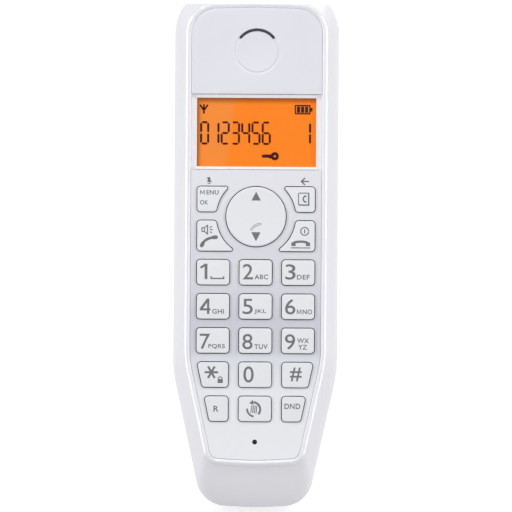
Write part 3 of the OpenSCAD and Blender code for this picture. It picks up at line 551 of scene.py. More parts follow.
def cut_corners(profile, rounds, closed=True):
    """Chaikin's rule: every side keeps the points at a quarter and at three quarters of it."""
    for _ in range(rounds):
        following = np.roll(profile, -1, axis=0)
        if not closed:
            first, last = profile[:1], profile[-1:]
            profile, following = profile[:-1], following[:-1]
        pair = np.stack([0.75 * profile + 0.25 * following, 0.25 * profile + 0.75 * following],
                        axis=1)
        profile = pair.reshape(-1, profile.shape[1])
        if not closed:
            profile = np.concatenate([first, profile, last])
    return profile


def flat_end(v, limit, softness=0.22):
    """A smooth stop at the flat top end: far below the limit v stays as it is, and past it v
    becomes the limit, with a small round between."""
    return limit - softness * np.logaddexp(0, (limit - v) / softness)


def profile_surface(profile):
    """Carries a profile with rows (blend, grow, w, end) round the outline: the outline and the
    rim are mixed by blend, both grown, lifted to w and stopped at end. Rings by points by 3."""
    rings = []
    for blend, grow, w, end in profile:
        flat = ((1 - blend) * arc_ring(OUTLINE_ARCS, grow, ARC_STEPS)
                + blend * arc_ring(RIM_ARCS, grow, ARC_STEPS))
        flat[:, 1] = flat_end(flat[:, 1], end)
        rings.append(at_height(flat, w))
    return np.array(rings)


# %% Front housing
# Rows of blend, grow and height, up the outside and over the rim, then down the inside.
OUTSIDE = [
    (0.00, -0.25, 14.10), (0.00, 0.00, 14.35), (0.00, 0.00, 15.80), (0.05, 0.00, 16.70),
    (0.27, 0.00, 18.60), (0.60, 0.00, 20.70), (0.92, 0.00, 22.50), (0.99, 0.00, 22.90),
    (1.00, 0.00, 23.30), (1.00, -0.02, 23.50), (1.00, -0.22, 23.62), (1.00, -0.44, 23.75),
    (1.00, -0.66, 23.88), (1.00, -0.86, 23.98), (1.00, -1.12, 23.90), (1.00, -1.45, 23.72),
    (1.00, -1.80, 23.54), (1.00, -1.84, 23.30), (1.00, -1.84, 22.50), (1.00, -2.85, 22.50),
    (1.00, -2.85, 21.00),
]
INSIDE = [(0.80, -WALL, 21.00), (0.00, -WALL, 16.00), (0.00, -WALL, 14.10)]
front_profile = cut_corners(np.array([(*row, BODY_L) for row in OUTSIDE]
                                     + [(*row, BODY_L - WALL) for row in INSIDE]), 2)
front_rings = profile_surface(front_profile)
front_faces = ring_quads(*front_rings.shape[:2], closed=True)
piece("front_shell", front_rings, front_faces, shell_white, "body_white", ["front_housing"])
print("front housing", len(front_faces), "quads")

# %% [markdown]
# ## Rounded copies of the plainer solids
# The keypad panel, the door and the base have the right shape as solids, and lack only the
# fine round that a mould leaves on every edge. A copy of the solid is welded, its flat faces
# are joined, and a Bevel modifier rounds each sharp edge by a fraction of a millimetre.

# %% Softened copies
WELD_MM, FLAT_DEGREES, EDGE_DEGREES = 0.002, 0.3, 30


def softened(name, node, width_mm, finish=shell_white, segments=3,
             body="handset"):
    """A copy of a solid whose sharp edges are rounded."""
    mesh = frame["nodes"][node].data.copy()
    mesh.name = name
    welded = bmesh.new()
    welded.from_mesh(mesh)
    bmesh.ops.remove_doubles(welded, verts=welded.verts, dist=WELD_MM * MM)
    bmesh.ops.dissolve_limit(welded, angle_limit=math.radians(FLAT_DEGREES),
                             verts=welded.verts, edges=welded.edges)
    welded.to_mesh(mesh)
    welded.free()
    finished(mesh, finish)
    bevel = fitted(name, mesh, [node], body).modifiers.new("mould_round", "BEVEL")
    bevel.width = width_mm * MM
    bevel.segments = segments
    bevel.limit_method = "ANGLE"
    bevel.angle_limit = math.radians(EDGE_DEGREES)
    bevel.harden_normals = True


softened("keypad_panel", "keypad_plate", 0.1, panel_white, segments=2)
softened("back_shell", "rear_housing", 0.15)
softened("door", "battery_door", 0.15, body="door")
softened("stand_shell", "base_shell", 0.4, body="base")
softened("stand_floor", "base_plate", 0.2, body="base")

# %% [markdown]
# ## Key caps
# Every key is a cap on a flange that keeps it under the panel. The cap's edge is a small
# quarter round and its top is slightly crowned, which is what gives moulded keys their soft
# highlight along two sides. A cap is rings that follow the key's outline, first up the side
# and then inwards to its middle. The left-hand keys that aren't plain mirror the right-hand ones.

# %% Key outlines
PANEL_W, PANEL_T = 22.5, 1.2
KEY_TOP = 24.4
KEY_R, TIP_R = 1.0, 0.45
PITCH_U, PITCH_V, KEY_U, KEY_V = 12.967, 10.4, 9.867, 7.6
INNER_SHIFT, OUTER_SHIFT = 0.2, 0.06
ROW_V, NAV_V, NAV_R, MOAT = 71.7, 88.7, 9.1, 3.1
COLUMN_EDGE = PITCH_U + KEY_U / 2
MOAT_R = NAV_R + MOAT


def four_sided(corners, radius=KEY_R):
    return corner_arcs([(u, v, radius) for u, v in corners])


def reach_at(outline, middle, turn):
    """How far a closed outline lies from its middle at angles in radians."""
    arm = outline - middle
    angle = np.arctan2(arm[:, 1], arm[:, 0])
    order = np.argsort(angle)
    return np.interp(turn, angle[order], np.linalg.norm(arm, axis=1)[order],
                     period=2 * math.pi)


def rectangle(left, right, low, high, radius=KEY_R):
    """A rectangle's four corner arcs."""
    return four_sided([(left, low), (right, low), (right, high), (left, high)], radius)


def plain_key(column, row):
    u, v = column * PITCH_U, ROW_V - row * PITCH_V
    return rectangle(u - KEY_U / 2, u + KEY_U / 2, v - KEY_V / 2, v + KEY_V / 2)


def tapered_key(row):
    """A right-hand key of the two lower rows, whose outer side follows the taper."""
    v, b = ROW_V - row * PITCH_V, KEY_V / 2
    inner = PITCH_U - KEY_U / 2 + INNER_SHIFT
    outer = COLUMN_EDGE - OUTER_SHIFT - TAPER * (RIM_TAPER_V - v - b)
    return four_sided([(inner, v - b), (outer - KEY_V * TAPER, v - b), (outer, v + b),
                       (inner, v + b)])


def touching(v, radius):
    """The centre of an arc at that v that touches the moat, and its angle seen from there."""
    u = math.sqrt((MOAT_R + radius) ** 2 - (v - NAV_V) ** 2)
    return np.array([u, v]), math.degrees(math.atan2(v - NAV_V, u))


def curved_key(up, start, height):
    """A right-hand key that curves round the navigation key and starts that far above its
    middle, or below it where up is -1. Its corner arcs touch the moat."""
    near = NAV_V + up * start
    far = near + up * height
    near_c, near_a = touching(near + up * KEY_R, KEY_R)
    far_c, far_a = touching(far - up * TIP_R, TIP_R)
    side = COLUMN_EDGE - KEY_R
    outer = [(np.array([side, min(near, far) + KEY_R]), KEY_R, 270, 360),
             (np.array([side, max(near, far) - KEY_R]), KEY_R, 0, 90)]
    moat = (np.array([0.0, NAV_V]), -MOAT_R)
    if up > 0:
        return [(near_c, KEY_R, 180 + near_a, 270), *outer, (far_c, TIP_R, 90, 180 + far_a),
                (*moat, 180 + far_a, 180 + near_a)]
    return [(near_c, KEY_R, 90, 180 + near_a), (*moat, 180 + near_a, 180 + far_a),
            (far_c, TIP_R, 180 + far_a, 270), *outer]


# %% Key caps
CROWN, EDGE_INSET = 0.08, 0.4
CAP_EDGE = KEY_TOP - CROWN
FLANGE = [(0.5, 21.55), (0.5, 22.25)]
cap_profile = np.concatenate([FLANGE, cut_corners(np.array([
    (0.0, 22.3), (0.0, CAP_EDGE - 0.4), (-0.03, CAP_EDGE - 0.14), (-0.14, CAP_EDGE - 0.03),
    (-EDGE_INSET, CAP_EDGE),
]), 2, closed=False)])
CROWN_SHARES = np.linspace(1, 0, 9)[1:-1]


class Cap:
    """The shape of one key cap, which also says how high its top is at any point."""

    def __init__(self, arcs, mirrored=False):
        self.arcs, self.mirrored = arcs, mirrored
        self.edge = self.ring(-EDGE_INSET)
        self.middle = (self.edge.min(axis=0) + self.edge.max(axis=0)) / 2

    def ring(self, grow):
        """The key's outline, grown. The long arc along the moat has more points."""
        steps = [26 if radius < 0 else 9 for _, radius, _, _ in self.arcs]
        flat = arc_ring(self.arcs, grow, steps)
        return flat[::-1] * (-1, 1) if self.mirrored else flat

    def height(self, flat):
        """The crown: highest in the middle, falling with the square of the share of the way
        from the middle to the edge."""
        arm = flat - self.middle
        reach = reach_at(self.edge, self.middle, np.arctan2(arm[:, 1], arm[:, 0]))
        share = np.clip(np.linalg.norm(arm, axis=1) / reach, 0, 1)
        return CAP_EDGE + CROWN * (1 - share ** 2)

    def rings(self):
        sides = [at_height(self.ring(grow), w) for grow, w in cap_profile]
        top = [at_height(self.middle + share * (self.edge - self.middle),
                         CAP_EDGE + CROWN * (1 - share ** 2)) for share in CROWN_SHARES]
        return np.array(sides + top)


tops = {}


def make_key(name, arcs, mirrored=False):
    """Makes the cap, and keeps what its legends need: its height at a point, and its body."""
    cap = Cap(arcs, mirrored)
    rings = cap.rings()
    points, faces = domed(rings, [*cap.middle, KEY_TOP], [*cap.middle, rings[0, 0, 2]])
    body = "press_" + name
    tops[name] = cap.height, body
    piece("cap_" + name, points, faces, cap_white, "key_white", ["key_" + name], body)


for number in range(1, 10):
    make_key(str(number), plain_key((number - 1) % 3 - 1, (number - 1) // 3))
make_key("0", plain_key(0, 3))
make_key("redial", plain_key(0, 4))
# Keys on the right, their mirror images on the left, and the outlines that both share.
RIGHT_AND_LEFT = (
    ("hash quiet", "star recall", (tapered_key(3), tapered_key(4))),
    ("book end", "menu talk", (curved_key(1, 1.45, 7.65), curved_key(-1, 1.25, 9.25))),
)
for right, left, shapes in RIGHT_AND_LEFT:
    for names, mirrored in ((right, False), (left, True)):
        for name, arcs in zip(names.split(), shapes):
            make_key(name, arcs, mirrored)
print("key caps", len(tops))

# %% [markdown]
# ## Navigation key
# The round key is a body of revolution: its profile is turned about its own axis.

# %% Navigation key
def turned_piece(name, profile, centre, steps, *settings):
    """Turns (radius, w) points about an axis at centre. The first and last rings are closed by
    their middle points."""
    turn = np.linspace(0, 2 * math.pi, steps, endpoint=False)
    radius, w = profile[:, :1], profile[:, 1:]
    rings = np.stack([centre[0] + radius * np.cos(turn), centre[1] + radius * np.sin(turn),
                      np.broadcast_to(w, (len(profile), steps))], axis=-1)
    points, faces = domed(rings, [*centre, profile[-1, 1]], [*centre, profile[0, 1]])
    piece(name, points, faces, *settings)


nav_profile = cut_corners(np.array([
    (1.0, 21.25), (NAV_R + 0.45, 21.25), (NAV_R + 0.45, 21.65), (NAV_R, 21.7),
    (NAV_R, KEY_TOP - 0.6), (NAV_R - 0.05, KEY_TOP - 0.2), (NAV_R - 0.3, KEY_TOP - 0.02),
    (NAV_R - 0.8, KEY_TOP), (NAV_R - 1.5, KEY_TOP - 0.1), (5.0, KEY_TOP - 0.22),
    (2.5, KEY_TOP - 0.28), (0.4, KEY_TOP - 0.3),
]), 2, closed=False)
turned_piece("cap_nav", nav_profile, (0.0, NAV_V), 144, cap_white, "key_white", ["key_nav"],
             "nav_key")


def nav_height(flat):
    """The dished top of the navigation key at flat points."""
    top = nav_profile[nav_profile[:, 1] > KEY_TOP - 0.35]
    top = top[np.argsort(top[:, 0])]
    return np.interp(np.linalg.norm(flat - (0.0, NAV_V), axis=1), top[:, 0], top[:, 1])


tops["nav"] = nav_height, "nav_key"

# %% [markdown]
# ## Earpiece cover
# The top panel carries a dished disc inside a shallow groove, and a curved slot lets the sound
# out above the disc. It is worked out in rays from the middle of the disc: the height is a
# function of the distance from the middle, and the slot is where a point lies close to the
# arc that runs over the top of the disc.

# %% Earpiece cover
EAR_V, EAR_R, LIP = 139.1, 6.0, 0.1
DISH_DEPTH, GROOVE_DEPTH = 0.42, 0.28
GROOVE_FULL, GROOVE_END = (0.4, 0.7), 1.2
SLOT_W, SLOT_SPREAD, SLOT_EDGE = 0.8, 50.0, 0.04
COVER_TOP = PANEL_W + PANEL_T
COVER_LOW_V, COVER_GAP = 126.06, 0.12
SLOT_R = EAR_R + SLOT_W / 2 + LIP
SLOT_DEPTH = 1.05


def panel_reach(turn):
    """How far each ray from the disc's middle runs to the edge of the panel: the nearest
    crossing with the panel's sides, found on the outline as angle against distance."""
    flat = arc_ring(RIM_ARCS, -RIM_W - COVER_GAP, ARC_STEPS)
    share = np.linspace(0, 1, 100, endpoint=False)[None, :, None]
    flat = (flat[:, None] * (1 - share) + np.roll(flat, -1, axis=0)[:, None] * share).reshape(-1, 2)
    down = np.sin(turn)
    low = np.where(down < -1e-6, (COVER_LOW_V - EAR_V) / np.minimum(down, -1e-6), 1e9)
    return np.minimum(reach_at(flat, (0.0, EAR_V), turn), low)


def ease(x, start, end):
    """Rises smoothly from 0 at start to 1 at end."""
    t = np.clip((x - start) / (end - start), 0, 1)
    return t * t * (3 - 2 * t)


def cover_height(radius, turn):
    """Height of the earpiece cover at polar points about the disc, with its dish, groove and
    slot, and how far the slot has opened there, from 0 to 1."""
    dish = DISH_DEPTH * (1 - np.clip(radius / (EAR_R + LIP), 0, 1) ** 2)
    groove = (GROOVE_DEPTH * ease(radius, EAR_R + LIP, EAR_R + GROOVE_FULL[0])
              * ease(-radius, -EAR_R - GROOVE_END, -EAR_R - GROOVE_FULL[1]))
    lean = np.degrees(np.arctan2(np.sin(turn - math.pi / 2), np.cos(turn - math.pi / 2)))
    over = np.radians(np.clip(lean, -SLOT_SPREAD, SLOT_SPREAD)) + math.pi / 2
    gap = np.hypot(radius * np.cos(turn) - SLOT_R * np.cos(over),
                   radius * np.sin(turn) - SLOT_R * np.sin(over))
    slot = SLOT_DEPTH * ease(-gap, -SLOT_W / 2 - SLOT_EDGE, -SLOT_W / 2 + SLOT_EDGE)
    return COVER_TOP - dish - groove - slot, slot / SLOT_DEPTH


# Each ray has few points in the dish, many across the groove and the slot, few from there to
# the panel's edge, and a rounded edge whose rows are inset and drop.
rays = np.linspace(0, 2 * math.pi, 720, endpoint=False)
reach = panel_reach(rays)
stations = np.concatenate([np.linspace(0.3, 5.6, 14), np.arange(5.7, 7.6, 0.055)])
shares = np.linspace(0.1, 1, 8)[:-1]
RIM_DROP = [(0.06, 0.0), (0.02, 0.02), (0.0, 0.07), (0.0, 1.1), (0.1, 1.2)]
radii = np.array([np.full_like(rays, station) for station in stations]
                 + [stations[-1] + share * (reach - 0.1 - stations[-1]) for share in shares]
                 + [reach - inset for inset, _ in RIM_DROP])[::-1]
drops = np.array([0.0] * (len(stations) + len(shares)) + [d for _, d in RIM_DROP])[::-1]
# How far the slot has opened at each point is kept as the slot's painted shade.
height, slot_shade = cover_height(radii, rays)
cover_rings = np.stack([radii * np.cos(rays), EAR_V + radii * np.sin(rays),
                        height - drops[:, None]], axis=-1)
middle_w = cover_height(np.zeros(1), np.zeros(1))[0][0]
cover_points, cover_faces = domed(cover_rings, [0, EAR_V, middle_w],
                                  [0, EAR_V, COVER_TOP - PANEL_T])


def slotted_panel():
    """The panel's satin white with painted shade, near black where the slot opens."""
    finish = Finish("earpiece_white_painted_slot_shade")
    flow, peel = finish.noise(*FLOW), finish.noise(1.6, detail=1)
    # dark is the painted shade in the slot, from 0 to 1.
    dark = finish.node("Attribute", {"attribute_name": "slot_depth"}, output="Fac")
    white = finish.blend(flow, srgb(222, 223, 230), srgb(230, 231, 238))
    return finish.surface(
        Base_Color=finish.blend(dark, white, srgb(28, 28, 34)),
        Roughness=dark * 0.3 + 0.4,
        Normal=finish.bump(peel, 0.001),
    )


earpiece = piece("earpiece_panel", cover_points, cover_faces, slotted_panel(), "panel_white",
                 ["earpiece_cover"])
# The slot's painted shade, stored on each point of the panel.
depth = earpiece.data.attributes.new("slot_depth", "FLOAT", "POINT")
depth.data.foreach_set("value", np.concatenate([slot_shade.ravel(), [0, 0]]).astype(np.float32))
print("earpiece panel", len(cover_faces), "faces")

# %% [markdown]
# ## Display
# The display is a stack: amber glass at the back, a white frame over its edge, and a clear
# lens level with the face panel. The dark segments are thin raised bars on the glass, so that
# they stay crisp from any side. Each character is drawn with seven bars, as plain numbers.

# %% Flat marks
def slab_of(outlines, height, thickness):
    """Closed slabs from flat outlines: points and faces of their tops, undersides and sides.
    height gives w for each flat point."""
    points, faces, start = [], [], 0
    for flat in outlines:
        flat = np.asarray(flat, float)
        turned = np.roll(flat, -1, axis=0)
        area = (flat[:, 0] * turned[:, 1] - turned[:, 0] * flat[:, 1]).sum()
        flat = flat if area > 0 else flat[::-1]
        count, top = len(flat), height(flat)
        points += [np.column_stack([flat, top]), np.column_stack([flat, top - thickness])]
        i = np.arange(count)
        following = (i + 1) % count
        sides = np.stack([i + count, following + count, following, i], 1) + start
        faces += [(start + i).tolist(), (start + count + i[::-1]).tolist(), *sides.tolist()]
        start += 2 * count
    return np.concatenate(points), faces


def level(w):
    """A flat surface at the height w, for marks that lie on it."""
    return lambda flat: np.full(len(flat), w)


def stroke(path, width, round_ends=False):
    """The outline of a line drawn with a pen of that width: the path moved half a width to
    either side along its own normals."""
    path = np.asarray(path, float)
    step = np.gradient(path, axis=0)
    step /= np.linalg.norm(step, axis=1, keepdims=True)
    normal = np.stack([-step[:, 1], step[:, 0]], axis=1) * width / 2
    left, right = path + normal, path - normal
    if not round_ends:
        return np.concatenate([right, left[::-1]])
    turn = np.linspace(-math.pi / 2, math.pi / 2, 9)[1:-1, None]
    tip, tail = [path[k] + sign * width / 2 * (np.cos(turn) * step[k]
                                               + np.sin(turn) * normal[k] * 2 / width)
                 for k, sign in ((-1, 1), (0, -1))]
    return np.concatenate([right, tip, left[::-1], tail])


def strokes(origin, *lines):
    """A stroke for each line, which is its pen width, its path from the origin, and True where
    its ends are round."""
    return [stroke(np.add(origin, path), width, *ends) for width, path, *ends in lines]


def segment_bar(start, end, width):
    """One bar of a character, with pointed ends."""
    start, end = np.array(start, float), np.array(end, float)
    step = (end - start) / np.linalg.norm(end - start)
    side = np.array([-step[1], step[0]]) * width / 2
    tip = step * width / 2
    return np.array([start, start + tip - side, end - tip - side, end, end - tip + side,
                     start + tip + side])


# %% Display characters
SEVEN = {"0": "abcdef", "1": "bc", "2": "abged", "3": "abgcd", "4": "fgbc", "5": "afgcd",
         "6": "afgedc"}
CHAR_W, CHAR_H, CHAR_PITCH, BAR_W = 2.15, 6.5, 3.13, 0.64
CHAR_U, CHAR_V = -16.9, 110.9


def character(number, u, v):
    """The bars of one number with its lower left corner at u, v: three that lie, from the
    bottom up, and four that stand, two on the left and two on the right."""
    half, gap = CHAR_H / 2, 0.12
    bars = {name: ((gap, k * half), (CHAR_W - gap, k * half)) for k, name in enumerate("dga")}
    for name, side, k in (("e", 0, 0), ("f", 0, 1), ("c", CHAR_W, 0), ("b", CHAR_W, 1)):
        bars[name] = ((side, k * half + gap), (side, (k + 1) * half - gap))
    return [segment_bar(*bars[name], BAR_W) + (u, v) for name in SEVEN[number]]


GLASS_TOP = 21.7
segments = []
for place, number in enumerate("0123456"):
    segments += character(number, CHAR_U + place * CHAR_PITCH, CHAR_V)
segments += character("1", 16.3 - CHAR_W, CHAR_V)
display_signs = strokes(
    (0, 0),
    (0.52, [(-16.1, 120.0), (-16.1, 122.9)]),
    (0.52, [(-15.95, 121.2), (-14.9, 122.75)]),
    (0.52, [(-16.25, 121.2), (-17.3, 122.75)]),
    (0.4, [(11.6, 120.15), (16.4, 120.15)]),
    (0.4, [(11.6, 122.65), (16.4, 122.65)]),
    (0.4, [(11.78, 120.3), (11.78, 122.5)]),
    (0.4, [(16.2, 120.3), (16.2, 122.5)]),
    (0.66, [(16.65, 120.85), (16.65, 121.95)]),
    *[(0.94, [(u, 120.45), (u, 122.35)]) for u in (12.75, 13.98, 15.21)],
    (0.92, arc_path((5.6, 107.15), 0.8, 0, 359, 48)),
)
key_shank = [(1.45, 107.2), (1.95, 106.7), (3.7, 106.7), (3.9, 106.5), (4.9, 106.5),
             (4.9, 107.8), (4.4, 107.7), (1.95, 107.65)]
points, faces = slab_of([*segments, *display_signs, key_shank], level(GLASS_TOP + 0.03), 0.06)
piece("display_marks", points, faces, segment_ink, "amber_screen")

# %% Display frame and lens
LENS_V, LENS_H, LENS_GAP, LENS_ROUND = 103.0, 23.0, 0.06, 0.08
FACE_HALF = RIM_HALF - RIM_W
SCREEN_HALF, SCREEN_V, SCREEN_H = 18.2, 103.9, 21.0
FRAME_LOW, FRAME_TOP, FRAME_LIP = 21.75, 22.53, 0.08
FRAME_GAP_U, FRAME_GAP_V, WINDOW_R, SCREEN_R = 0.14, 0.08, 0.25, 0.15


def window_rings(half, low, high, corner, profile):
    """Rings of a rectangle with round corners, each grown and lifted as the profile says."""
    arcs = rectangle(-half, half, low, high, corner)
    return [at_height(arc_ring(arcs, grow, [8] * 4), w) for grow, w in profile]


frame_rings = np.array([
    *window_rings(FACE_HALF - FRAME_GAP_U, LENS_V + FRAME_GAP_V, LENS_V + LENS_H - FRAME_GAP_V,
                  WINDOW_R, [(0, FRAME_TOP - FRAME_LIP), (0, FRAME_TOP)]),
    *window_rings(SCREEN_HALF, SCREEN_V, SCREEN_V + SCREEN_H, SCREEN_R,
                  [(0, FRAME_TOP), (0, FRAME_LOW)]),
])
piece("display_frame", frame_rings, ring_quads(*frame_rings.shape[:2], closed=True), frame_white_painted_glow,
      "panel_white", ["display_mask"])
lens_profile = cut_corners(np.array([(-LENS_ROUND, PANEL_W), (0, PANEL_W + LENS_ROUND),
                                     (0, COVER_TOP - LENS_ROUND), (-LENS_ROUND, COVER_TOP)]),
                           1, closed=False)
lens_rings = np.array(window_rings(FACE_HALF - 2 * LENS_GAP, LENS_V + LENS_GAP,
                                   LENS_V + LENS_H - LENS_GAP, WINDOW_R, lens_profile))
levels, count = lens_rings.shape[:2]
ends = [list(range(count))[::-1], list(range((levels - 1) * count, levels * count))]
piece("lens_cover", lens_rings, ring_quads(levels, count) + ends, lens_clear, "clear_lens",
      ["display_lens"])

# %% [markdown]
# ## Legends
# The legends are printed: thin grey marks that follow the crown of each key. Numbers and
# letters come from Blender's own typeface, made into a mesh first and then placed. The other
# signs are strokes of a pen, each with its own width.

# %% Lettering
INK_T, INK_RISE = 0.04, 0.015
PEN = 0.2
tops["panel"] = level(COVER_TOP), "handset"


def lettered(name, text, top, centre, size, bold=0.018):
    """Text of a given width and height in millimetres, centred at a flat point and laid on the
    top of a key."""
    curve = bpy.data.curves.new(name, "FONT")
    curve.body = text
    curve.resolution_u = 5
    curve.extrude = 0.01
    curve.offset = bold
    curve.space_character = 1.08
    holder = shown(name, curve)
    bpy.context.view_layer.update()
    mesh = bpy.data.meshes.new_from_object(holder)
    bpy.data.objects.remove(holder)
    bpy.data.curves.remove(curve)
    co = np.zeros(len(mesh.vertices) * 3)
    mesh.vertices.foreach_get("co", co)
    co = co.reshape(-1, 3)
    low, high = co.min(axis=0), co.max(axis=0)
    height, body = tops[top]
    flat = (co - (low + high) / 2)[:, :2] * (np.array(size) / (high - low)[:2]) + centre
    w = height(flat) + np.where(co[:, 2] > 0, INK_RISE, INK_RISE - INK_T)
    placed = leaning(np.column_stack([flat, w]))
    mesh.vertices.foreach_set("co", placed.astype(np.float32).ravel())
    mesh.update()
    mesh.materials.clear()
    mesh.materials.append(grey_ink)
    fitted(name, mesh, body=body)


def drawn(name, top, outlines):
    """Signs drawn as flat outlines and laid on a top."""
    height, body = tops[top]
    points, faces = slab_of(outlines, lambda flat: height(flat) + INK_RISE, INK_T)
    piece(name, points, faces, grey_ink, "key_white", body=body)


def letter_m(centre, size):
    """The strokes of a capital M, whose narrow form in the typeface closes up when small."""
    a, b = (size[0] - PEN) / 2, size[1] / 2
    return strokes(centre, (PEN, [(-a, -b), (-a, b)]), (PEN, [(-a, b - 0.05), (0, -b * 0.55)]),
                   (PEN, [(0, -b * 0.55), (a, b - 0.05)]), (PEN, [(a, b), (a, -b)]))


# %% Numbers and letters
# For each key its letters, and where they start and end beside the middle of the key.
LETTERS = {"2": ("ABC", -0.35, 3.8), "3": ("DEF", -0.41, 3.49), "4": ("GHI", -0.2, 3.34),
           "5": ("JKL", -0.33, 3.27), "6": ("NO", 1.4, 4.3), "7": ("PQRS", -1.34, 3.7),
           "8": ("TUV", -0.27, 3.76)}
NUMBER_U, NUMBER_W, NUMBER_H = -2.38, 3.13, 4.69
NUMBER_RISE = (0.2, 0.0, -0.3)
LETTER_DROP = (-1.36, -1.54, -1.81)
LETTER_H = 1.45
key_middle = {str(n): np.array([((n - 1) % 3 - 1) * PITCH_U, ROW_V - (n - 1) // 3 * PITCH_V])
              for n in range(1, 10)}
for name, middle in key_middle.items():
    row = (int(name) - 1) // 3
    if name not in "14":
        lettered("number_" + name, name, name, middle + (NUMBER_U, NUMBER_RISE[row]),
                 (NUMBER_W, NUMBER_H), bold=0.004)
    if name in LETTERS:
        text, left, right = LETTERS[name]
        lettered("letters_" + name, text, name,
                 middle + ((left + right) / 2, LETTER_DROP[row]), (right - left, LETTER_H))
drawn("number_1", "1", strokes(
    key_middle["1"],
    (0.84, [(-2.17, -2.14), (-2.17, 2.55)]),
    (0.66, [(-3.85, 1.35), (-2.9, 1.9), (-2.3, 2.4)]),
    (0.42, [(-0.6, -1.25), (-0.6, -1.9)]),
    (0.42, [(-0.8, -1.9), (3.4, -1.9)]),
    (0.42, [(3.2, -1.25), (3.2, -1.9)]),
))
four = key_middle["4"]
upright, bar = strokes(four, (0.68, [(-1.45, -2.35), (-1.45, 2.3)]),
                       (0.62, [(-3.98, -0.96), (-0.75, -0.96)]))
slope = four + [(-1.11, 2.34), (-1.85, 2.34), (-3.98, -0.62), (-3.98, -1.27), (-3.05, -0.68),
                (-1.6, 1.4)]
drawn("number_4", "4", [upright, slope, bar])
drawn("letters_6m", "6", letter_m((PITCH_U + 0.33, ROW_V - PITCH_V + LETTER_DROP[1]),
                                  (1.36, LETTER_H)))
lettered("letters_9", "WX", "9", key_middle["9"] + (1.6, 0.07), (3.6, LETTER_H))
lettered("letters_9b", "YZ", "9", key_middle["9"] + (1.45, -1.9), (2.7, LETTER_H))
ROW_4, ROW_5 = ROW_V - 3 * PITCH_V, ROW_V - 4 * PITCH_V
lettered("number_0", "0", "0", (-1.99, ROW_4 + 0.1), (NUMBER_W, 4.96), bold=0.004)
lettered("sign_hash", "#", "hash", (PITCH_U - 0.57, ROW_4 + 0.2), (3.6, 4.2), bold=0.012)
star, lock = (-PITCH_U - 0.35, ROW_4 + 0.71), np.array([-10.6, ROW_4 - 1.75])
star_arms = strokes(star, *[(0.64, [(-2.04 * c, -2.04 * s), (2.04 * c, 2.04 * s)])
                            for c, s in ((1, 0), (0.5, 0.866), (0.5, -0.866))])
lock_mark = [lock + [(-0.85, -0.8), (0.85, -0.8), (0.75, 0.45), (-0.75, 0.45)],
             *strokes(lock, (0.3, arc_path((0, 0.45), 0.62, 5, 175)))]
drawn("sign_star", "star", star_arms + lock_mark)
lettered("letter_R", "R", "recall", (-11.83, ROW_5), (1.55, 1.83))
lettered("letters_DND", "DND", "quiet", (11.42, ROW_5 + 0.86), (4.82, 1.63))
print("lettering done")

# %% Signs
redial = np.array([-0.27, ROW_5])
arcs = strokes(redial, (0.62, arc_path((-0.3, -0.15), 2.2, -42, 84)),
               (0.55, arc_path((0.2, 0.0), 2.3, 178, 262)))
bars = strokes(redial, *[(0.28, [(-0.95 + 0.52 * k, -1.15 - 0.05 * k),
                                 (-0.65 + 0.52 * k, 1.15 - 0.05 * k)]) for k in range(4)])
arrow_head = redial + [(-1.5, 1.75), (-0.3, 2.75), (-0.1, 1.3)]
drawn("sign_redial", "redial", [arcs[0], arrow_head, arcs[1], *bars])

up_arrow = [(0, 96.3), (-1.42, 93.6), (1.42, 93.6)]
down_arrow = [(0, 81.2), (1.42, 83.95), (-1.42, 83.95)]
HANDLE = [(-1.35, 84.85), (-0.6, 85.65), (0.25, 86.2), (1.3, 86.5)]
handle_path = cut_corners(np.array(HANDLE), 3, closed=False)
handle_edge = stroke(handle_path, 0.5, round_ends=True)
handle_loop = stroke(np.concatenate([handle_edge, handle_edge[:1]]), 0.17)
drawn("sign_nav", "nav", [up_arrow, down_arrow, handle_loop])

MENU_V, MENU_H = 96.0, 1.35
drawn("letter_M", "menu", letter_m((-16.37, MENU_V), (1.36, MENU_H)))
lettered("word_menu", "ENU", "menu", (-13.3, MENU_V), (3.7, MENU_H))
lettered("word_ok", "OK", "menu", (-15.85, 92.95), (2.5, MENU_H))
drawn("sign_book", "book", strokes(
    (14.55, 94.05),
    (0.3, [(-1.65, -1.75), (-1.65, 1.85)]),
    (0.3, [(-1.5, 1.9), (1.3, 1.9)]),
    (0.42, [(1.45, 2.0), (1.45, -1.9)]),
    (0.42, [(-1.5, -1.75), (1.6, -1.75)]),
    (0.42, arc_path((0.75, 0.1), 0.95, 112, 248), True),
    (0.5, [(0.25, 0.95), (0.55, 0.95)], True),
    (0.5, [(0.25, -0.75), (0.55, -0.75)], True),
))
speaker_mark = strokes(
    (-14.8, 84.65),
    (0.32, [(-1.65, -0.6), (-1.65, 0.6)]),
    (0.32, [(-1.7, 0.55), (-0.95, 0.55), (-0.05, 1.3)]),
    (0.32, [(-1.7, -0.55), (-0.95, -0.55), (-0.05, -1.3)]),
    (0.36, [(0.05, -1.45), (0.05, 1.45)]),
    (0.26, [(-0.85, -0.6), (-0.85, 0.6)]),
    (0.32, [(0.75, 0.0), (1.6, 0.0)]),
    (0.32, [(0.7, 0.6), (1.4, 1.0)]),
    (0.32, [(0.7, -0.6), (1.4, -1.0)]),
)
TALK = [(-16.5, 80.0), (-16.1, 80.7), (-15.3, 81.5), (-14.2, 82.05), (-12.7, 82.35)]
talk_mark = strokes((0, 0), (0.8, cut_corners(np.array(TALK), 3, closed=False)),
                    (1.15, [(-16.5, 79.8), (-16.2, 80.35)], True),
                    (1.15, [(-12.9, 82.3), (-12.15, 82.35)], True))
drawn("sign_talk", "talk", speaker_mark + talk_mark)
HANG_UP = [(11.0, 80.45), (12.0, 81.05), (13.65, 81.2), (15.3, 81.05), (16.3, 80.45)]
